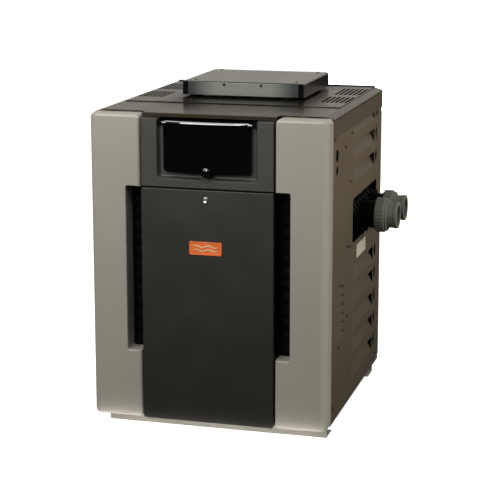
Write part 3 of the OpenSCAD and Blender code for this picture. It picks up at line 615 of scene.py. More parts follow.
def rough_cast(name, color, roughness=0.55, metallic=0.7):
    """Cast or scaled metal with a sandy skin."""
    s = Shader(name, color, roughness, metallic)
    s.color(s.tint(color, 0.2, 40, 5))
    s.rough(s.noise(35, 3), roughness - 0.08, roughness + 0.1)
    s.bump(s.noise(420, 4), 0.5, 0.12)
    return s.material


def ceramic_board():
    """Pressed fibre board: pale, matt and felted."""
    s = Shader("ceramic_board", (0.78, 0.74, 0.64), 0.95)
    s.color(s.tint((0.76, 0.72, 0.62), 0.10, 30, 6))
    s.bump(s.noise(500, 6, s.stretched(1, 1, 0.3)), 0.7, 0.3)
    return s.material


def circuit_board():
    """Green solder mask over a maze of copper tracks."""
    s = Shader("circuit_board", (0.02, 0.13, 0.06), 0.35)
    bricks = s.node("ShaderNodeTexBrick")
    bricks.inputs["Scale"].default_value = 130
    bricks.inputs["Color1"].default_value = (0.016, 0.12, 0.055, 1)
    bricks.inputs["Color2"].default_value = (0.022, 0.16, 0.075, 1)
    bricks.inputs["Mortar"].default_value = (0.05, 0.26, 0.12, 1)
    s.link(s.position, bricks.inputs["Vector"])
    s.color(s.mix(s.fade(s.noise(70, 2), 0, 1, 0.45, 0.55), bricks.outputs["Color"], (0.015, 0.10, 0.05)))
    s.rough(s.noise(120, 2), 0.28, 0.42)
    s.bump(bricks.outputs["Fac"], 0.2, 0.03)
    return s.material


def sticker():
    """Blank off-white label, slightly yellowed, with a faint weave from its backing."""
    s = Shader("label", (0.56, 0.53, 0.42), 0.5)
    s.color(s.tint((0.56, 0.53, 0.42), 0.07, 45, 5))
    s.rough(s.noise(80, 3), 0.42, 0.6)
    s.bump(s.noise(700, 2), 0.15, 0.02)
    return s.material


def enamel(name, color):
    """Glossy stove enamel with a slightly uneven surface."""
    s = Shader(name, color, 0.22)
    s.color(s.tint(color, 0.10, 60, 4))
    s.rough(s.noise(90, 3), 0.16, 0.30)
    s.bump(s.noise(160, 3), 0.2, 0.06)
    s.coat(0.6, 0.08)
    return s.material


def tinted_glass():
    """Dark, slightly green display window."""
    s = Shader("display_glass", (0.02, 0.03, 0.026), 0.08)
    s.color(s.tint((0.02, 0.03, 0.026), 0.15, 25))
    s.rough(s.noise(50, 3), 0.05, 0.12)
    s.bump(s.noise(200, 2), 0.04, 0.01)
    s.coat(1.0, 0.03)
    return s.material


def sleeve():
    """Braided sleeve over a bundle of wires."""
    s = Shader("wire_sleeve", (0.03, 0.03, 0.032), 0.7)
    weave = s.cells(420)
    s.color(s.mix(weave.outputs["Distance"], (0.055, 0.055, 0.06), (0.012, 0.012, 0.013)))
    s.rough(s.noise(90, 2), 0.6, 0.8)
    s.bump(weave.outputs["Distance"], 0.6, 0.25)
    return s.material


finishes = (
    paint("rail_paint", (0.40, 0.375, 0.31), 0.5, 0.05, wear=(0.5, 0.48, 0.43)),
    # The door and jacket paints are painted darker towards the floor: painted shade.
    paint("charcoal_paint", (0.037, 0.035, 0.029), 0.40, 0.05, dull=0.6),
    paint("jacket_paint", JACKET, 0.42, 0.04, wear=JACKET_WEAR, peel=0.1, dull=0.6, gleam=0.35),
    lid_paint(),
    paint("black_paint", (0.002, 0.002, 0.002), 0.6, 0.10, gleam=0.05),
    paint("cap_paint", (0.020, 0.015, 0.010), 0.25, 0.02, wear=(0.2, 0.17, 0.14), peel=0.012, gleam=0.4),
    paint("dark_screws", (0.006, 0.005, 0.004), 0.45, 0.06, gleam=0.3),
    grey_panel_paint(),
    gloss_black(),
    moulding("charcoal_plastic", (0.055, 0.052, 0.044), 0.42),
    moulding("display_plastic", (0.020, 0.020, 0.020), 0.5),
    # The header's plastic is black; its near-black, almost glossless tone is partly painted shade for the
    # header behind the side opening.
    moulding("header_plastic", (0.001, 0.001, 0.001), 0.55, 0.3, gleam=0.06),
    moulding("union_plastic", (0.16, 0.167, 0.135), 0.5, 0.3, gleam=0.35),
    moulding("button_plastic", (0.55, 0.55, 0.52), 0.45),
    moulding("red_plastic", (0.45, 0.045, 0.03), 0.4),
    moulding("rubber", (0.016, 0.016, 0.016), 0.7, 0.6),
    metal("bright_steel", (0.58, 0.58, 0.56), 0.34, (0.05, 1, 1)),
    metal("chrome", (0.86, 0.86, 0.85), 0.30, (1, 1, 1), 500, 0.03),
    metal("brass", (0.60, 0.45, 0.20), 0.32, (1, 1, 1), 700),
    rough_cast("cast_aluminium", (0.45, 0.46, 0.47), 0.48, 0.85),
    rough_cast("black_iron", (0.035, 0.034, 0.033), 0.6, 0.5),
    galvanised(),
    cap_strip_metal(),
    copper(),
    ceramic_board(),
    circuit_board(),
    sticker(),
    enamel("badge_enamel", (0.95, 0.20, 0.055)),
    tinted_glass(),
    sleeve(),
)
# The CAD's plain materials have these names too, so Blender adds a number after a dot.
coats = {finish.name.split(".")[0]: finish for finish in finishes}
badge_cream = enamel("badge_cream", (0.80, 0.62, 0.36))
sill_paint = paint("sill_paint", (0.16, 0.15, 0.125), 0.5, 0.05)
# The louvre flaps are pressed from the jacket's sheets but take this darker, less glossy copy of its paint
# as painted shade; it is also painted darker towards the floor.
louvre_paint = paint("louvre_paint", (0.118, 0.092, 0.061), 0.5, 0.04, peel=0.1, dull=0.6, gleam=0.08)


# ---------------------------------------------------------------- corner panels
def fillet(y, r):
    """How far a face rounded off with radius r is drawn in at the depth y."""
    if y >= r:
        return 0.0
    return r - math.sqrt(max(0.0, r * r - (r - y) ** 2))


def corner_rings(lo, hi, depths, shrink):
    """Front-view outlines of a corner panel at several depths, drawn in by shrink."""
    outer_r = 19
    inner_r = 7
    corner_r = 10
    rings = []
    for y in depths:
        outer = fillet(y - shrink, outer_r - shrink)
        inner = fillet(y - shrink, inner_r - shrink)
        corner = max(corner_r - shrink - inner, 1.0)
        inset = shrink + inner
        outline = round_rect(lo.x + inset, hi.x - shrink - outer, lo.z + inset, hi.z - inset, corner)
        rings.append(ring(outline, y, "y"))
    return rings


def corner_panels():
    """Two deep-drawn panels with a full radius on the outside and the air intake beside the door."""
    lo, hi = cab_box("right_corner_panel")
    notch_x = 193.0
    notch_z = (160.8, 546.7)
    depths = [0, 0.25, 0.8, 1.6, 2.7, 4.2, 5.8, 7, 9, 11.5, 14.5, 19, hi.y]
    shell_depths = [WALL, 3.2, 4.5, 6.5, 9, 12, 15.5, 19, hi.y + 1]
    body = loft(corner_rings(lo, hi, depths, 0.0))
    cavity = loft(corner_rings(lo, hi, shell_depths, WALL))
    keep = block((lo.x - 5, -1, notch_z[0] - WALL), (notch_x + WALL, hi.y + 2, notch_z[1] + WALL))
    flare = [(-1, 3), (0, 3), (0.3, 1.7), (1.0, 0.8), (2.0, 0.2), (3, 0), (hi.y + 1, 0)]
    opening = []
    for y, grow in flare:
        outline = round_rect(lo.x - 20, notch_x + grow, notch_z[0] - grow, notch_z[1] + grow, 5 + grow)
        opening.append(ring(outline, y, "y"))
    pivot_hole = prism(circle(*DOOR_PIVOT, 3.05), "x", lo.x - 2, lo.x + WALL + 0.5)
    right = cut(body, cut(cavity, keep), loft(opening), pivot_hole)
    left = mirrored(right)
    piece(right, "corner_panel_right", "panel_paint", nodes=["right_corner_panel"])
    piece(left, "corner_panel_left", "panel_paint", nodes=["left_corner_panel"])


# ---------------------------------------------------------------- bezel, door and cover
def soft_front(lo, hi, r, corner_r):
    """A block whose front edges are rounded with r, and its front-view corners with corner_r."""
    rings = []
    for y in [0, 0.15 * r, 0.4 * r, 0.7 * r, r, hi.y - lo.y]:
        inset = fillet(y, r)
        rings.append(ring(front_view(lo, hi, max(corner_r - inset, 0.3), inset), lo.y + y, "y"))
    return loft(rings)


def control_bezel():
    """The moulded frame of the controls, with a dished recess for the cover."""
    lo, hi = cab_box("control_bezel")
    recess_x = 117
    recess_z = 567
    floor_y = 13.5
    floor_top = 694.5
    well_top = 740
    body = soft_front(lo, hi, 1.6, 2.0)
    well = []
    for y, grow in [(-1, 1.2), (0, 1.2), (0.3, 0.6), (0.9, 0.1), (11.5, -4), (12.8, -5), (13.5, -7.5)]:
        outline = round_rect(-recess_x - grow, recess_x + grow, recess_z - grow, well_top, 10 + grow)
        well.append(ring(outline, y, "y"))
    rim = round_rect(-recess_x - WALL, recess_x + WALL, recess_z - WALL, well_top, 12.5)
    core = cut(
        block((lo.x + WALL, WALL, lo.z + WALL), (hi.x - WALL, hi.y + 1, hi.z - WALL)),
        prism(rim, "y", -1, floor_y + WALL),
        prism(circle(0, COVER_KNOB_Z, 26.5, 48), "y", -1, floor_y + WALL),
    )
    scallop = prism(circle(0, COVER_KNOB_Z, 24, 64), "y", -1, 9)
    above = block((-recess_x, -1, floor_top), (recess_x, hi.y + 1, hi.z + 20))
    window = prism(round_rect(-77, 77, 597, 683, 2), "y", floor_y - 3, floor_y + WALL + 1)
    tongue_slot = block((-18, 2.7, recess_z - 6.5), (18, 6.4, recess_z + 4))
    latch_slot = block((-10, 16.5, lo.z - 1), (29, 21, lo.z + WALL + 1))
    shell = cut(body, core, loft(well), scallop, above, window, tongue_slot, latch_slot)
    ear = block((105.5, 1, 689), (118.3, 14.5, 699), 1.5)
    ear = cut(ear, prism(circle(*COVER_HINGE, 2.5), "x", 104.5, 116))
    piece(shell, "control_bezel_moulding", "charcoal_plastic", nodes=["control_bezel"])
    # The hinge ears belong to the bezel moulding but take the near-black header plastic, a painted shade,
    # as they sit in the shadow of the cover.
    piece(joined(mirrored(ear), ear), "cover_hinge_ears", "header_plastic")


def front_door():
    """A folded door pan with two hat stiffeners behind it and a pivot pin at each lower corner."""
    lo, hi = cab_box("front_door")
    x = 155
    corners = Vector((-x, lo.y, lo.z)), Vector((x, hi.y, hi.z))
    pan = soft_front(*corners, 1.4, 2.5)
    hollow = prism(front_view(*corners, 1.5, SHEET), "y", lo.y + SHEET, hi.y + 1)
    latch = prism(circle(*DOOR_LATCH, 4.05), "y", lo.y - 1, lo.y + 4)
    hat = thick(rounded_path([(44, 0), (52, 0), (54, 8.5), (86, 8.5), (88, 0), (96, 0)], 2.5), SHEET)
    stiffener = prism(hat, "z", 30, 500)
    pins = [prism(circle(*DOOR_PIVOT, 3), "x", *ends) for ends in both_sides(x - 1, hi.x)]
    door = joined(cut(pan, hollow, latch), mirrored(stiffener), stiffener, *pins)
    piece(door, "front_door_pan", "charcoal_paint", "door", ["front_door"])


def cover_outline():
    """Front view of the cover: round corners and a round tab for its knob."""
    lo, hi = cab_box("control_cover")
    tab_r = 12.5
    bottom = 583.5
    x = 102.5
    corners = round_rect(-x, x, bottom, hi.z, 9, 8)
    start = math.degrees(math.asin((COVER_KNOB_Z - bottom) / tab_r))
    tab = []
    for i in range(25):
        a = math.radians(180 + start + (180 - 2 * start) * i / 24)
        tab.append((tab_r * math.cos(a), COVER_KNOB_Z + tab_r * math.sin(a)))
    corner_points = len(corners) // 4
    return corners[:corner_points] + tab + corners[corner_points:]


def control_cover():
    """A glossy door, bowed in plan, whose top edge curls back, on two hinge eyes."""
    bow_r = 483.1
    front = -8
    curl_r = 9
    top = cab_box("control_cover")[1].z
    skin = plate(cover_outline(), [circle(0, COVER_KNOB_Z, 4.05, 24)], 3, 0.5)
    creases = [((i * 5 + 0.31, 0, 0), (1, 0, 0)) for i in range(-20, 21)]
    creases += [((0, top - down, 0), (0, 1, 0)) for down in (6, 5, 4, 3, 2.1, 1.3)]
    for point, normal in creases:
        geometry = skin.verts[:] + skin.edges[:] + skin.faces[:]
        bmesh.ops.bisect_plane(skin, geom=geometry, plane_co=point, plane_no=normal)
    for vertex in skin.verts:
        x, z, depth = vertex.co
        rise = max(0.0, z - (top - 6.5))
        curl = curl_r - math.sqrt(curl_r ** 2 - rise ** 2)
        vertex.co = Vector((x, front + bow_r - math.sqrt(bow_r ** 2 - x * x) + depth + curl, z))
    bmesh.ops.recalc_face_normals(skin, faces=skin.faces)
    profile = [(2.55, 0.3), (4.2, 0), (4.5, 0.3), (4.5, 14.4), (4.2, 14.7), (2.55, 14.4)]
    eye = lathe(profile, Matrix.Translation((90.5, *COVER_HINGE)) @ FACING_RIGHT, 32)
    arms = [block((x0, 3.2, 689.7), (x1, 5, 698.3)) for x0, x1 in both_sides(91, 101)]
    cover = joined(skin, mirrored(eye), eye, *arms)
    piece(cover, "control_cover_door", "gloss_black", "cover", ["control_cover"])


def cover_knob():
    """A domed quarter-turn knob with a raised grip, its shaft and its tongue."""
    lo, hi = cab_box("cover_latch")
    z = COVER_KNOB_Z
    h = -lo.y
    dome = [(0, h - 1.6), (4, h - 1.8), (7, h - 2.5), (9, h - 3.6), (10, h - 4.7), (9.6, 8.3), (0, 8.3)]
    head = lathe(dome, Matrix.Translation((0, 0, z)) @ FACING_FRONT, 48)
    grip = prism(round_rect(-1.6, 1.6, z - 8, z + 8, 1.5), "y", lo.y, lo.y + 4)
    shaft = prism(circle(0, z, 4, 32), "y", -8.6, 3.3)
    tongue = prism(round_rect(-4, 23, z - 4, z + 4, 2), "y", 3.2, hi.y)
    knob = joined(head, grip, shaft, tongue)
    piece(knob, "cover_knob", FINISH["cover_latch"], "cover_latch", ["cover_latch"], edge=0.25)


def door_key_latch():
    """A chromed key lock: a chamfered ring, a plug with a keyway, its shaft and its tongue."""
    lo, hi = cab_box("door_latch")
    x, z = DOOR_LATCH
    ring = [(3.9, 3.6), (4.2, 4.1), (5.3, 4.5), (6.2, 4.0), (6.5, 3.1), (6.5, 1.8), (3.0, 1.8)]
    axis = Matrix.Translation((x, 0, z)) @ FACING_FRONT
    collar = lathe(ring, axis, 48)
    plug = lathe([(0, 4.0), (3.5, 3.9), (3.8, 3.5), (3.8, -10), (0, -10)], axis, 40)
    keyway = block((x - 0.7, lo.y - 1, z - 2.6), (x + 0.7, lo.y + 2.6, z + 2.6), 0.2)
    shaft = prism(circle(x, z, 3.9, 32), "y", 9, 17.6)
    tongue = prism(round_rect(x - 5, x + 34, z - 5, z + 5, 3), "y", hi.y - 2, hi.y)
    latch = joined(collar, cut(plug, keyway), shaft, tongue)
    piece(latch, "door_key_latch", FINISH["door_latch"], "door_latch", ["door_latch"])


def badge():
    """A plain enamelled plate with a raised rim and two raised wavy ribs."""
    lo, hi = cab_box("badge")
    outline = front_view(lo, hi, 3)
    inner = front_view(lo, hi, 1.6, 2.4)
    base = prism(outline, "y", lo.y + 0.6, hi.y)
    rim = plate(outline, [inner], 0.8, 0.2)
    rim.transform(Matrix.Translation((0, lo.y + 0.8, 0)) @ FACING_FRONT)
    piece(joined(base, rim), "badge_plate", "badge_enamel", "door", ["badge"])
    waves = []
    for height in (0.36, 0.64):
        z = lo.z + (hi.z - lo.z) * height
        top = []
        low = []
        for i in range(41):
            u = lo.x + 8 + (hi.x - lo.x - 16) * i / 40
            lift = 2.2 * math.sin(2 * math.pi * i / 20)
            half = 1.5 * math.sin(math.pi * (i + 0.5) / 41) ** 0.4
            top.append((u, z + lift + half))
            low.append((u, z + lift - half))
        waves.append(prism(low + top[::-1], "y", lo.y + 0.1, lo.y + 0.8))
    piece(joined(*waves), "badge_waves", "badge_enamel", "door", material=badge_cream)


# ---------------------------------------------------------------- jacket
BIG_LOUVRES = (50, 109.2, 168.4, 227.6, 286.8, 529.5, 588.2, 647)
BIG_SPAN = (274, 526)
BIG_HEIGHT = 35
SMALL_LOUVRES = tuple(192 + 21.2 * i for i in range(6))
SMALL_SPAN = (86, 172)
SMALL_HEIGHT = 8


def on_right_side(x):
    """Stands a flat plate upright at x, with its first axis to the rear and its second up."""
    return Matrix(((0, 0, 1, x), (1, 0, 0, 0), (0, 1, 0, 0), (0, 0, 0, 1)))


def slit(y, z, height, width):
    """A narrow lens-shaped slit."""
    points = []
    for side in (1, -1):
        for i in range(12):
            t = i / 12
            bulge = 1 - (2 * t - 1) ** 2
            points.append((y + side * width / 2 * bulge, z + side * height * (t - 0.5)))
    return points


def formed_louvre(span, z, height, depth, steps):
    """A strip that leans inwards from its lower edge, with creases along it."""
    root = 279.1
    path = [(root + 0.3, z - 0.6), (root, z)]
    for across, up in steps:
        path.append((root - depth * across, z + height * up))
    outline = thick(rounded_path(path, 1.6, 3), 1.2)
    return prism(outline, "y", span[0] + 1, span[1] - 1)


def side_sheets():
    """Both side panels: one sheet each, with windows, formed louvres, slits and service holes."""
    y0, y1, z0, z1 = 46.6, 578.5, 6, 705
    windows = [round_rect(*BIG_SPAN, z, z + BIG_HEIGHT, 3) for z in BIG_LOUVRES]
    windows += [round_rect(*SMALL_SPAN, z, z + SMALL_HEIGHT, 1.5) for z in SMALL_LOUVRES]
    windows += [slit(548, z + 21, 40, 22) for z in BIG_LOUVRES]
    right_holes = [round_rect(268, 560, 382, 490, 12), circle(88.5, 621.6, 14), circle(88.5, 587.2, 10.75)]
    left_holes = [circle(150, 150, 19.85, 48)]
    flaps = []
    for z in BIG_LOUVRES:
        steps = ((0.30, 0.34), (0.52, 0.52), (0.62, 0.62), (1.0, 0.97))
        flaps.append(formed_louvre(BIG_SPAN, z, BIG_HEIGHT, 20, steps))
    for z in SMALL_LOUVRES:
        flaps.append(formed_louvre(SMALL_SPAN, z, SMALL_HEIGHT, 7, ((0.5, 0.5), (1.0, 0.95))))
    louvres = joined(*flaps)
    twin = mirrored(louvres)
    # The flaps wear the darker copy of the jacket paint: painted shade.
    piece(twin, "louvres_left", "jacket_paint", nodes=["side_louvres"], material=louvre_paint)
    piece(louvres, "louvres_right", "jacket_paint", material=louvre_paint)
    for name, holes in (("right", right_holes), ("left", left_holes)):
        sheet = plate(round_rect(y0, y1, z0, z1, 1.5), windows + holes, SHEET, 0.3)
        sheet.transform(on_right_side(278))
        sheet = sheet if name == "right" else mirrored(sheet)
        piece(sheet, "side_sheet_" + name, "jacket_paint", nodes=[name + "_side_panel"])


def rear_sheet():
    """The rear panel: one sheet bent round both rear corners, with ten louvres."""
    lo, hi = cab_box("rear_panel")
    path = rounded_path([(lo.x, lo.y), (lo.x, hi.y), (hi.x, hi.y), (hi.x, lo.y)], 4)
    sheet = prism(thick(path, -SHEET), "z", lo.z, hi.z)
    cutters = []
    flaps = []
    for x0, x1 in both_sides(20, 170):
        for i in range(5):
            z = 60 + 56 * i
            cutters.append(prism(round_rect(x0, x1, z, z + 35, 3), "y", hi.y - 4, hi.y + 3))
            lean = [(hi.y - 0.2, z - 0.6), (hi.y - 0.6, z), (hi.y - 6, z + 17), (hi.y - 11, z + 34)]
            flap = thick(rounded_path(lean, 1.6, 3), 1.2)
            flaps.append(prism(flap, "x", x0 + 1, x1 - 1))
    piece(joined(cut(sheet, joined(*cutters)), *flaps), "rear_sheet", "jacket_paint", nodes=["rear_panel"])


FLUE_OPENING = (-112, 112, 330, 540)
SLOT_GROUPS = ((277, 388), (428, 555))


def top_sheet():
    """The folded top: its front edge turned down over the bezel, its rear edge inside the rear panel."""
    lo, hi = cab_box("top_lid")
    shoulder_x = 262
    nose_x = 157
    right_fold = [(281, 665), (281, 709), (shoulder_x, 714.2)]
    fold = right_fold + [(-x, z) for x, z in right_fold[::-1]]
    roof = prism(thick(rounded_path(fold, 3.0), SHEET), "y", 46.6, hi.y)
    nose_path = rounded_path([(lo.y, 706.2), (lo.y, hi.z), (50, hi.z)], 3)
    nose = prism(thick(nose_path, -SHEET), "x", -nose_x, nose_x)
    wings = plate(round_rect(-shoulder_x, shoulder_x, lo.y, 50, 3), [], SHEET, 0.3)
    wings.transform(Matrix.Translation((0, 0, hi.z - SHEET)))
    middle = block((-nose_x - 0.2, 0, 700), (nose_x + 0.2, 60, 720))
    lip = block((-259, hi.y - 2.2, 690), (259, hi.y - 0.7, hi.z - 1))
    sheet = joined(roof, cut(wings, middle), nose, lip)
    holes = [round_rect(*FLUE_OPENING, 4)]
    for x0, x1 in both_sides(193, 259.5):
        holes += [round_rect(x0, x1, y0 - 3, y1 + 3, 3) for y0, y1 in SLOT_GROUPS]
    cutters = [prism(hole, "z", 705, 716) for hole in holes]
    piece(cut(sheet, joined(*cutters)), "top_sheet", "lid_paint", nodes=["top_lid"])


def vent_grille():
    """The raised rear part of the top, punched with four groups of slots, and a black strip along its rear
    edge.
    """
    lo, hi = cab_box("top_vent_panel")
    holes = [round_rect(*FLUE_OPENING, 4)]
    for i in range(6):
        for x0, x1 in both_sides(195.5 + 11.2 * i, 201.7 + 11.2 * i):
            holes += [round_rect(x0, x1, y0, y1, 3.05) for y0, y1 in SLOT_GROUPS]
    grille = plate(top_view(lo, hi, 3), holes, hi.z - lo.z, 0.5)
    grille.transform(Matrix.Translation((0, 0, lo.z)))
    piece(grille, "vent_grille", "lid_paint", nodes=["top_vent_panel"])
    # A black strip along the rear edge of the grille.
    black_rear_strip = prism(round_rect(hi.y + 0.3, hi.y + 5.5, lo.z, lo.z + 4.4, 1.5), "x", lo.x, hi.x)
    piece(black_rear_strip, "rear_edge_black_strip", "black_paint")


def bulkhead():
    """The black sheet behind the front, with hooded slots behind both air intakes."""
    lo, hi = cab_box("inner_front_panel")
    holes = [round_rect(-145, 145, 40, 540, 3), round_rect(-95, 95, 590, 690, 3)]
    hoods = []
    for x0, x1 in both_sides(164, 188):
        for i in range(12):
            z = 176 + 30 * i
            holes.append(round_rect(x0, x1, z, z + 18, 2))
            lean = [(hi.y - 0.3, z - 0.5), (hi.y - 0.1, z), (hi.y + 9, z + 22), (hi.y + 9, z + 26)]
            hoods.append(prism(thick(rounded_path(lean, 2, 3), -1), "x", x0 - 5, x1 + 5))
    sheet = plate(front_view(lo, hi, 2), holes, SHEET, 0.3)
    sheet.transform(Matrix.Translation((0, hi.y, 0)) @ FACING_FRONT)
    piece(joined(sheet, *hoods), "intake_bulkhead", "black_paint", nodes=["inner_front_panel"])


# ---------------------------------------------------------------- vent cap
def vent_cap():
    """A drawn hood with rounded edges, open below and between its front corners."""
    lo, hi = cab_box("vent_cap")
    strip_lo, strip_hi = cab_box("vent_cap_front")
    r = 3.5
    rings = []
    for z in [lo.z, hi.z - r, hi.z - 0.7 * r, hi.z - 0.4 * r, hi.z - 0.15 * r, hi.z]:
        inset = fillet(hi.z - z, r)
        rings.append(ring(top_view(lo, hi, 4.5 - inset, inset), z, "z"))
    hollow = prism(top_view(lo, hi, 3, SHEET), "z", lo.z - 1, hi.z - SHEET)
    front = block((lo.x + SHEET, lo.y - 1, lo.z - 1), (hi.x - SHEET, lo.y + 6, strip_hi.z + 0.2))
    piece(cut(loft(rings), hollow, front), "vent_cap_hood", "cap_paint", nodes=["vent_cap"])
    posts = []
    for x0, x1 in both_sides(strip_hi.x + 0.3, hi.x - SHEET + 0.2):
        flat = [Vector((x0, lo.y + 0.7)), Vector((x1, lo.y + 0.7))]
        posts.append(prism(thick(flat, SHEET), "z", lo.z + 0.3, strip_hi.z))
    piece(joined(*posts), "vent_cap_posts", "black_paint")
    face_y = strip_lo.y
    back_y = face_y + 12
    fold = [(back_y, lo.z), (face_y, lo.z), (face_y, strip_hi.z), (back_y, strip_hi.z)]
    strip = prism(thick(rounded_path(fold, 1.2), -SHEET), "x", strip_lo.x, strip_hi.x)
    piece(strip, "vent_cap_strip", "satin_steel", nodes=["vent_cap_front"])


# ---------------------------------------------------------------- screws, label
def screws():
    """The screw heads, each shown as one thin disc at the middle of its head."""
    cap_top_z = 750
    cap_front_x = 100
    thickness = 0.2
    discs = []
    for lo, hi in islands("jacket_screws"):
        center = (lo + hi) / 2
        if lo.z > cap_top_z:
            outward = Vector((0, 0, 1))
        elif abs(center.x) < cap_front_x:
            outward = Vector((0, -1, 0))
        else:
            outward = Vector((math.copysign(1, center.x), 0, 0))
        aim = outward.to_track_quat("Z", "Y").to_matrix().to_4x4()
        r = max(hi - lo) / 2
        profile = [(0, 0), (r, 0), (r, -thickness), (0, -thickness)]
        discs.append(lathe(profile, Matrix.Translation(center) @ aim, 32))
    piece(joined(*discs), "pan_head_screws", "dark_screws", nodes=["jacket_screws"])


def blank_label():
    """A blank sticker on the right side panel."""
    sheet = plate(round_rect(317, 424, 336, 369, 2.5), [], 0.4, 0.1)
    sheet.transform(on_right_side(279.5))
    piece(sheet, "blank_label", "label")


# ---------------------------------------------------------------- unions
def nut_rib(r, h, turn):
    """Draws the nut's outside in between its ribs."""
    if r < 39:
        return r
    wave = 0.5 + 0.5 * math.cos(28 * turn)
    return r - 0.9 * (1 - min(1.0, 1.7 * wave))


CONNECTOR_FLANGE_X = 336.2


def unions():
    """The ribbed ring nuts and the end connectors."""
    for name, body in (("front", "front_nut"), ("rear", "rear_nut")):
        lo, hi = cab_box(name + "_union_nut")
        center = (lo + hi) / 2
        axis = Matrix.Translation((lo.x, center.y, center.z)) @ FACING_RIGHT
        length = hi.x - lo.x
        lip = CONNECTOR_FLANGE_X - lo.x
        profile = [
            (36.3, 0.6), (36.9, 0), (39.0, 0), (41.4, 1.2), (42.1, 2.6), (42.1, length - 8),
            (41.6, length - 6.8), (39.8, length - 6.4), (39.0, length - 5.6), (38.6, length - 1),
            (37.6, length), (33.2, length), (32.1, length - 0.8), (32.1, lip), (36.3, lip),
        ]
        nut = lathe(profile, axis, 288, nut_rib)
        piece(nut, name + "_ring_nut", "union_plastic", body, [name + "_union_nut"])
        lo, hi = cab_box(name + "_connector")
        axis = Matrix.Translation((lo.x, center.y, center.z)) @ FACING_RIGHT
        length = hi.x - lo.x
        profile = [
            (20, 0), (35.4, 0), (35.8, 0.4), (35.8, 3.4), (35.4, 3.8), (31.2, 3.8), (31.2, 12.5),
            (30.6, 13), (30.6, length - 10), (31.4, length - 9), (31.8, length - 7.5),
            (31.8, length - 1.6), (30.4, length), (25.6, length), (24.25, length - 1.5),
            (24.25, length - 32), (20, length - 32),
        ]
        connector = lathe(profile, axis, 96)
        piece(connector, name + "_end_connector", "union_plastic", nodes=[name + "_connector"])


# ---------------------------------------------------------------- assembly
corner_panels()
control_bezel()
front_door()
control_cover()
cover_knob()
door_key_latch()
badge()
side_sheets()
rear_sheet()
top_sheet()
vent_grille()
bulkhead()
vent_cap()
screws()
blank_label()
unions()

SOFT_EDGES = {
    "front_rail": 0.8, "rear_rail": 0.8, "water_header": 0.8, "return_header": 1.0, "gas_valve": 1.2,
    "gas_valve_knob": 1.0, "display_housing": 0.6, "button_mode": 0.5, "button_up": 0.5, "button_down": 0.5,
    "vent_cap_brackets": 0.4, "refractory_boards": 1.0, "burners": 0.5, "drain_plugs": 0.6,
}
ROUND_ALREADY = ("tube_fins", "union_o_rings", "heat_exchanger_tubes", "wire_harness")
for part in frame["record"]["subparts"]:
    node = part["node"]
    if not cad_nodes[node].hide_render:
        dress(node, 0 if node in ROUND_ALREADY else SOFT_EDGES.get(node, 0.3))
cad_nodes["door_sill"].data.materials[0] = sill_paint


# ---------------------------------------------------------------- studio
def floor():
    """A large pale floor that throws little light back up."""
    bm = bmesh.new()
    bmesh.ops.create_grid(bm, x_segments=1, y_segments=1, size=30)
    obj = as_object(bm, "studio_floor")
    s = Shader("studio_floor", (0.97, 0.97, 0.965), 0.7)
    pale = s.tint((0.98, 0.98, 0.975), 0.01, 0.8)
    seen = s.node("ShaderNodeLightPath").outputs["Is Camera Ray"]
    s.color(s.mix(seen, (0.02, 0.02, 0.02), pale))
    s.bsdf.inputs["Emission Color"].default_value = (1, 1, 1, 1)
    s.link(s.fade(seen, 0.0, 0.8), s.bsdf.inputs["Emission Strength"])
    s.bsdf.inputs["Specular IOR Level"].default_value = 0.0
    s.bump(s.noise(60, 2), 0.05, 0.2)
    obj.data.materials.append(s.material)


def softbox(name, location, target, size, power, in_gloss=True, seen=True):
    """An area light aimed at the target, which gloss may mirror and the camera may see."""
    light = bpy.data.lights.new(name, "AREA")
    light.shape = "RECTANGLE"
    light.size, light.size_y = size
    light.energy = power
    obj = bpy.data.objects.new(name, light)
    obj.visible_glossy = in_gloss
    obj.visible_camera = seen
    obj.location = location
    obj.rotation_euler = (Vector(target) - Vector(location)).to_track_quat("-Z", "Y").to_euler()
    bpy.context.scene.collection.objects.link(obj)


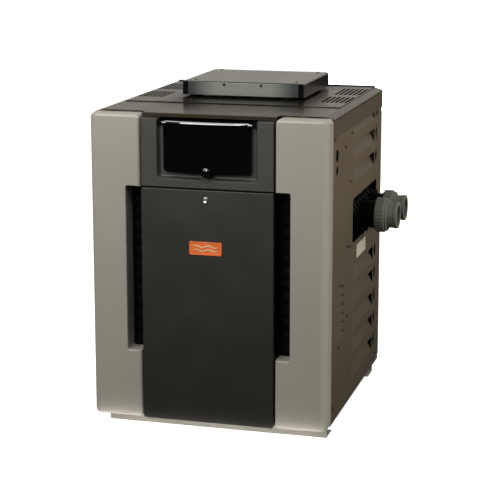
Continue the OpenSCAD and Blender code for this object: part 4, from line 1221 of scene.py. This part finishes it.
def white_room():
    """A room with a bright ceiling and back wall and a dark front, so that gloss stays black."""
    world = bpy.data.worlds.new("studio")
    room = NodeTree(world)
    toward = room.axes(room.node("ShaderNodeTexCoord").outputs["Generated"])
    ceiling = room.fade(toward["Z"], 0.015, 0.34, 0.25, 0.55)
    back_wall = room.fade(toward["Y"], 0.015, 0.68, 0.55, 0.95)
    warm = room.mix(room.calc("MAXIMUM", ceiling, back_wall), (0, 0, 0), (1.0, 0.95, 0.87))
    seen = room.node("ShaderNodeLightPath").outputs["Is Camera Ray"]
    white = (1.2, 1.2, 1.2)
    room.link(room.mix(seen, warm, white), room.tree.nodes["Background"].inputs["Color"])
    bpy.context.scene.world = world
    bpy.context.scene.view_settings.view_transform = "Standard"


def studio():
    """A large key in front on the left, a lamp over the front edge, tall fills around the cabinet
    and a low strip that stands for the light which a floor throws on the front rail."""
    white_room()
    softbox("key", (-0.7, -3.0, 1.75), (0, 0, 0.38), (2.0, 1.2), 50)
    softbox("top", (-0.2, -0.8, 1.4), (-0.1, -0.33, 0.6), (1.2, 0.3), 5.0)
    softbox("fill", (2.7, -0.3, 0.9), (0.2, 0, 0.40), (0.7, 1.6), 42, in_gloss=False)
    softbox("left", (-2.7, 0.2, 0.9), (-0.2, 0, 0.40), (0.7, 1.6), 16, in_gloss=False)
    softbox("rear", (0.3, 2.9, 0.9), (0, 0.2, 0.40), (1.6, 1.2), 14, in_gloss=False)
    below = Vector((0, cad_lo.y - 0.004, 0.016))
    behind = below + Vector((0, 1, 0))
    softbox("bounce", below, behind, (0.56, 0.026), 0.30, in_gloss=False, seen=False)


def camera():
    """A long lens, a little above the heater and to its right."""
    data = bpy.data.cameras.new("camera")
    data.sensor_width = 36
    data.lens = 113.7
    data.shift_x = 0.0324
    data.shift_y = -0.08
    data.clip_end = 200
    obj = bpy.data.objects.new("camera", data)
    azimuth, pitch, roll = (math.radians(a) for a in (15.95, 11.23, -0.127))
    level = math.cos(pitch)
    forward = Vector((-math.sin(azimuth) * level, math.cos(azimuth) * level, -math.sin(pitch)))
    aim = forward.to_track_quat("-Z", "Y").to_matrix() @ Matrix.Rotation(roll, 3, "Z")
    obj.matrix_world = Matrix.Translation((1.0147, -3.6722, 1.2274)) @ aim.to_4x4()
    bpy.context.scene.collection.objects.link(obj)
    bpy.context.scene.camera = obj


floor()
studio()
camera()
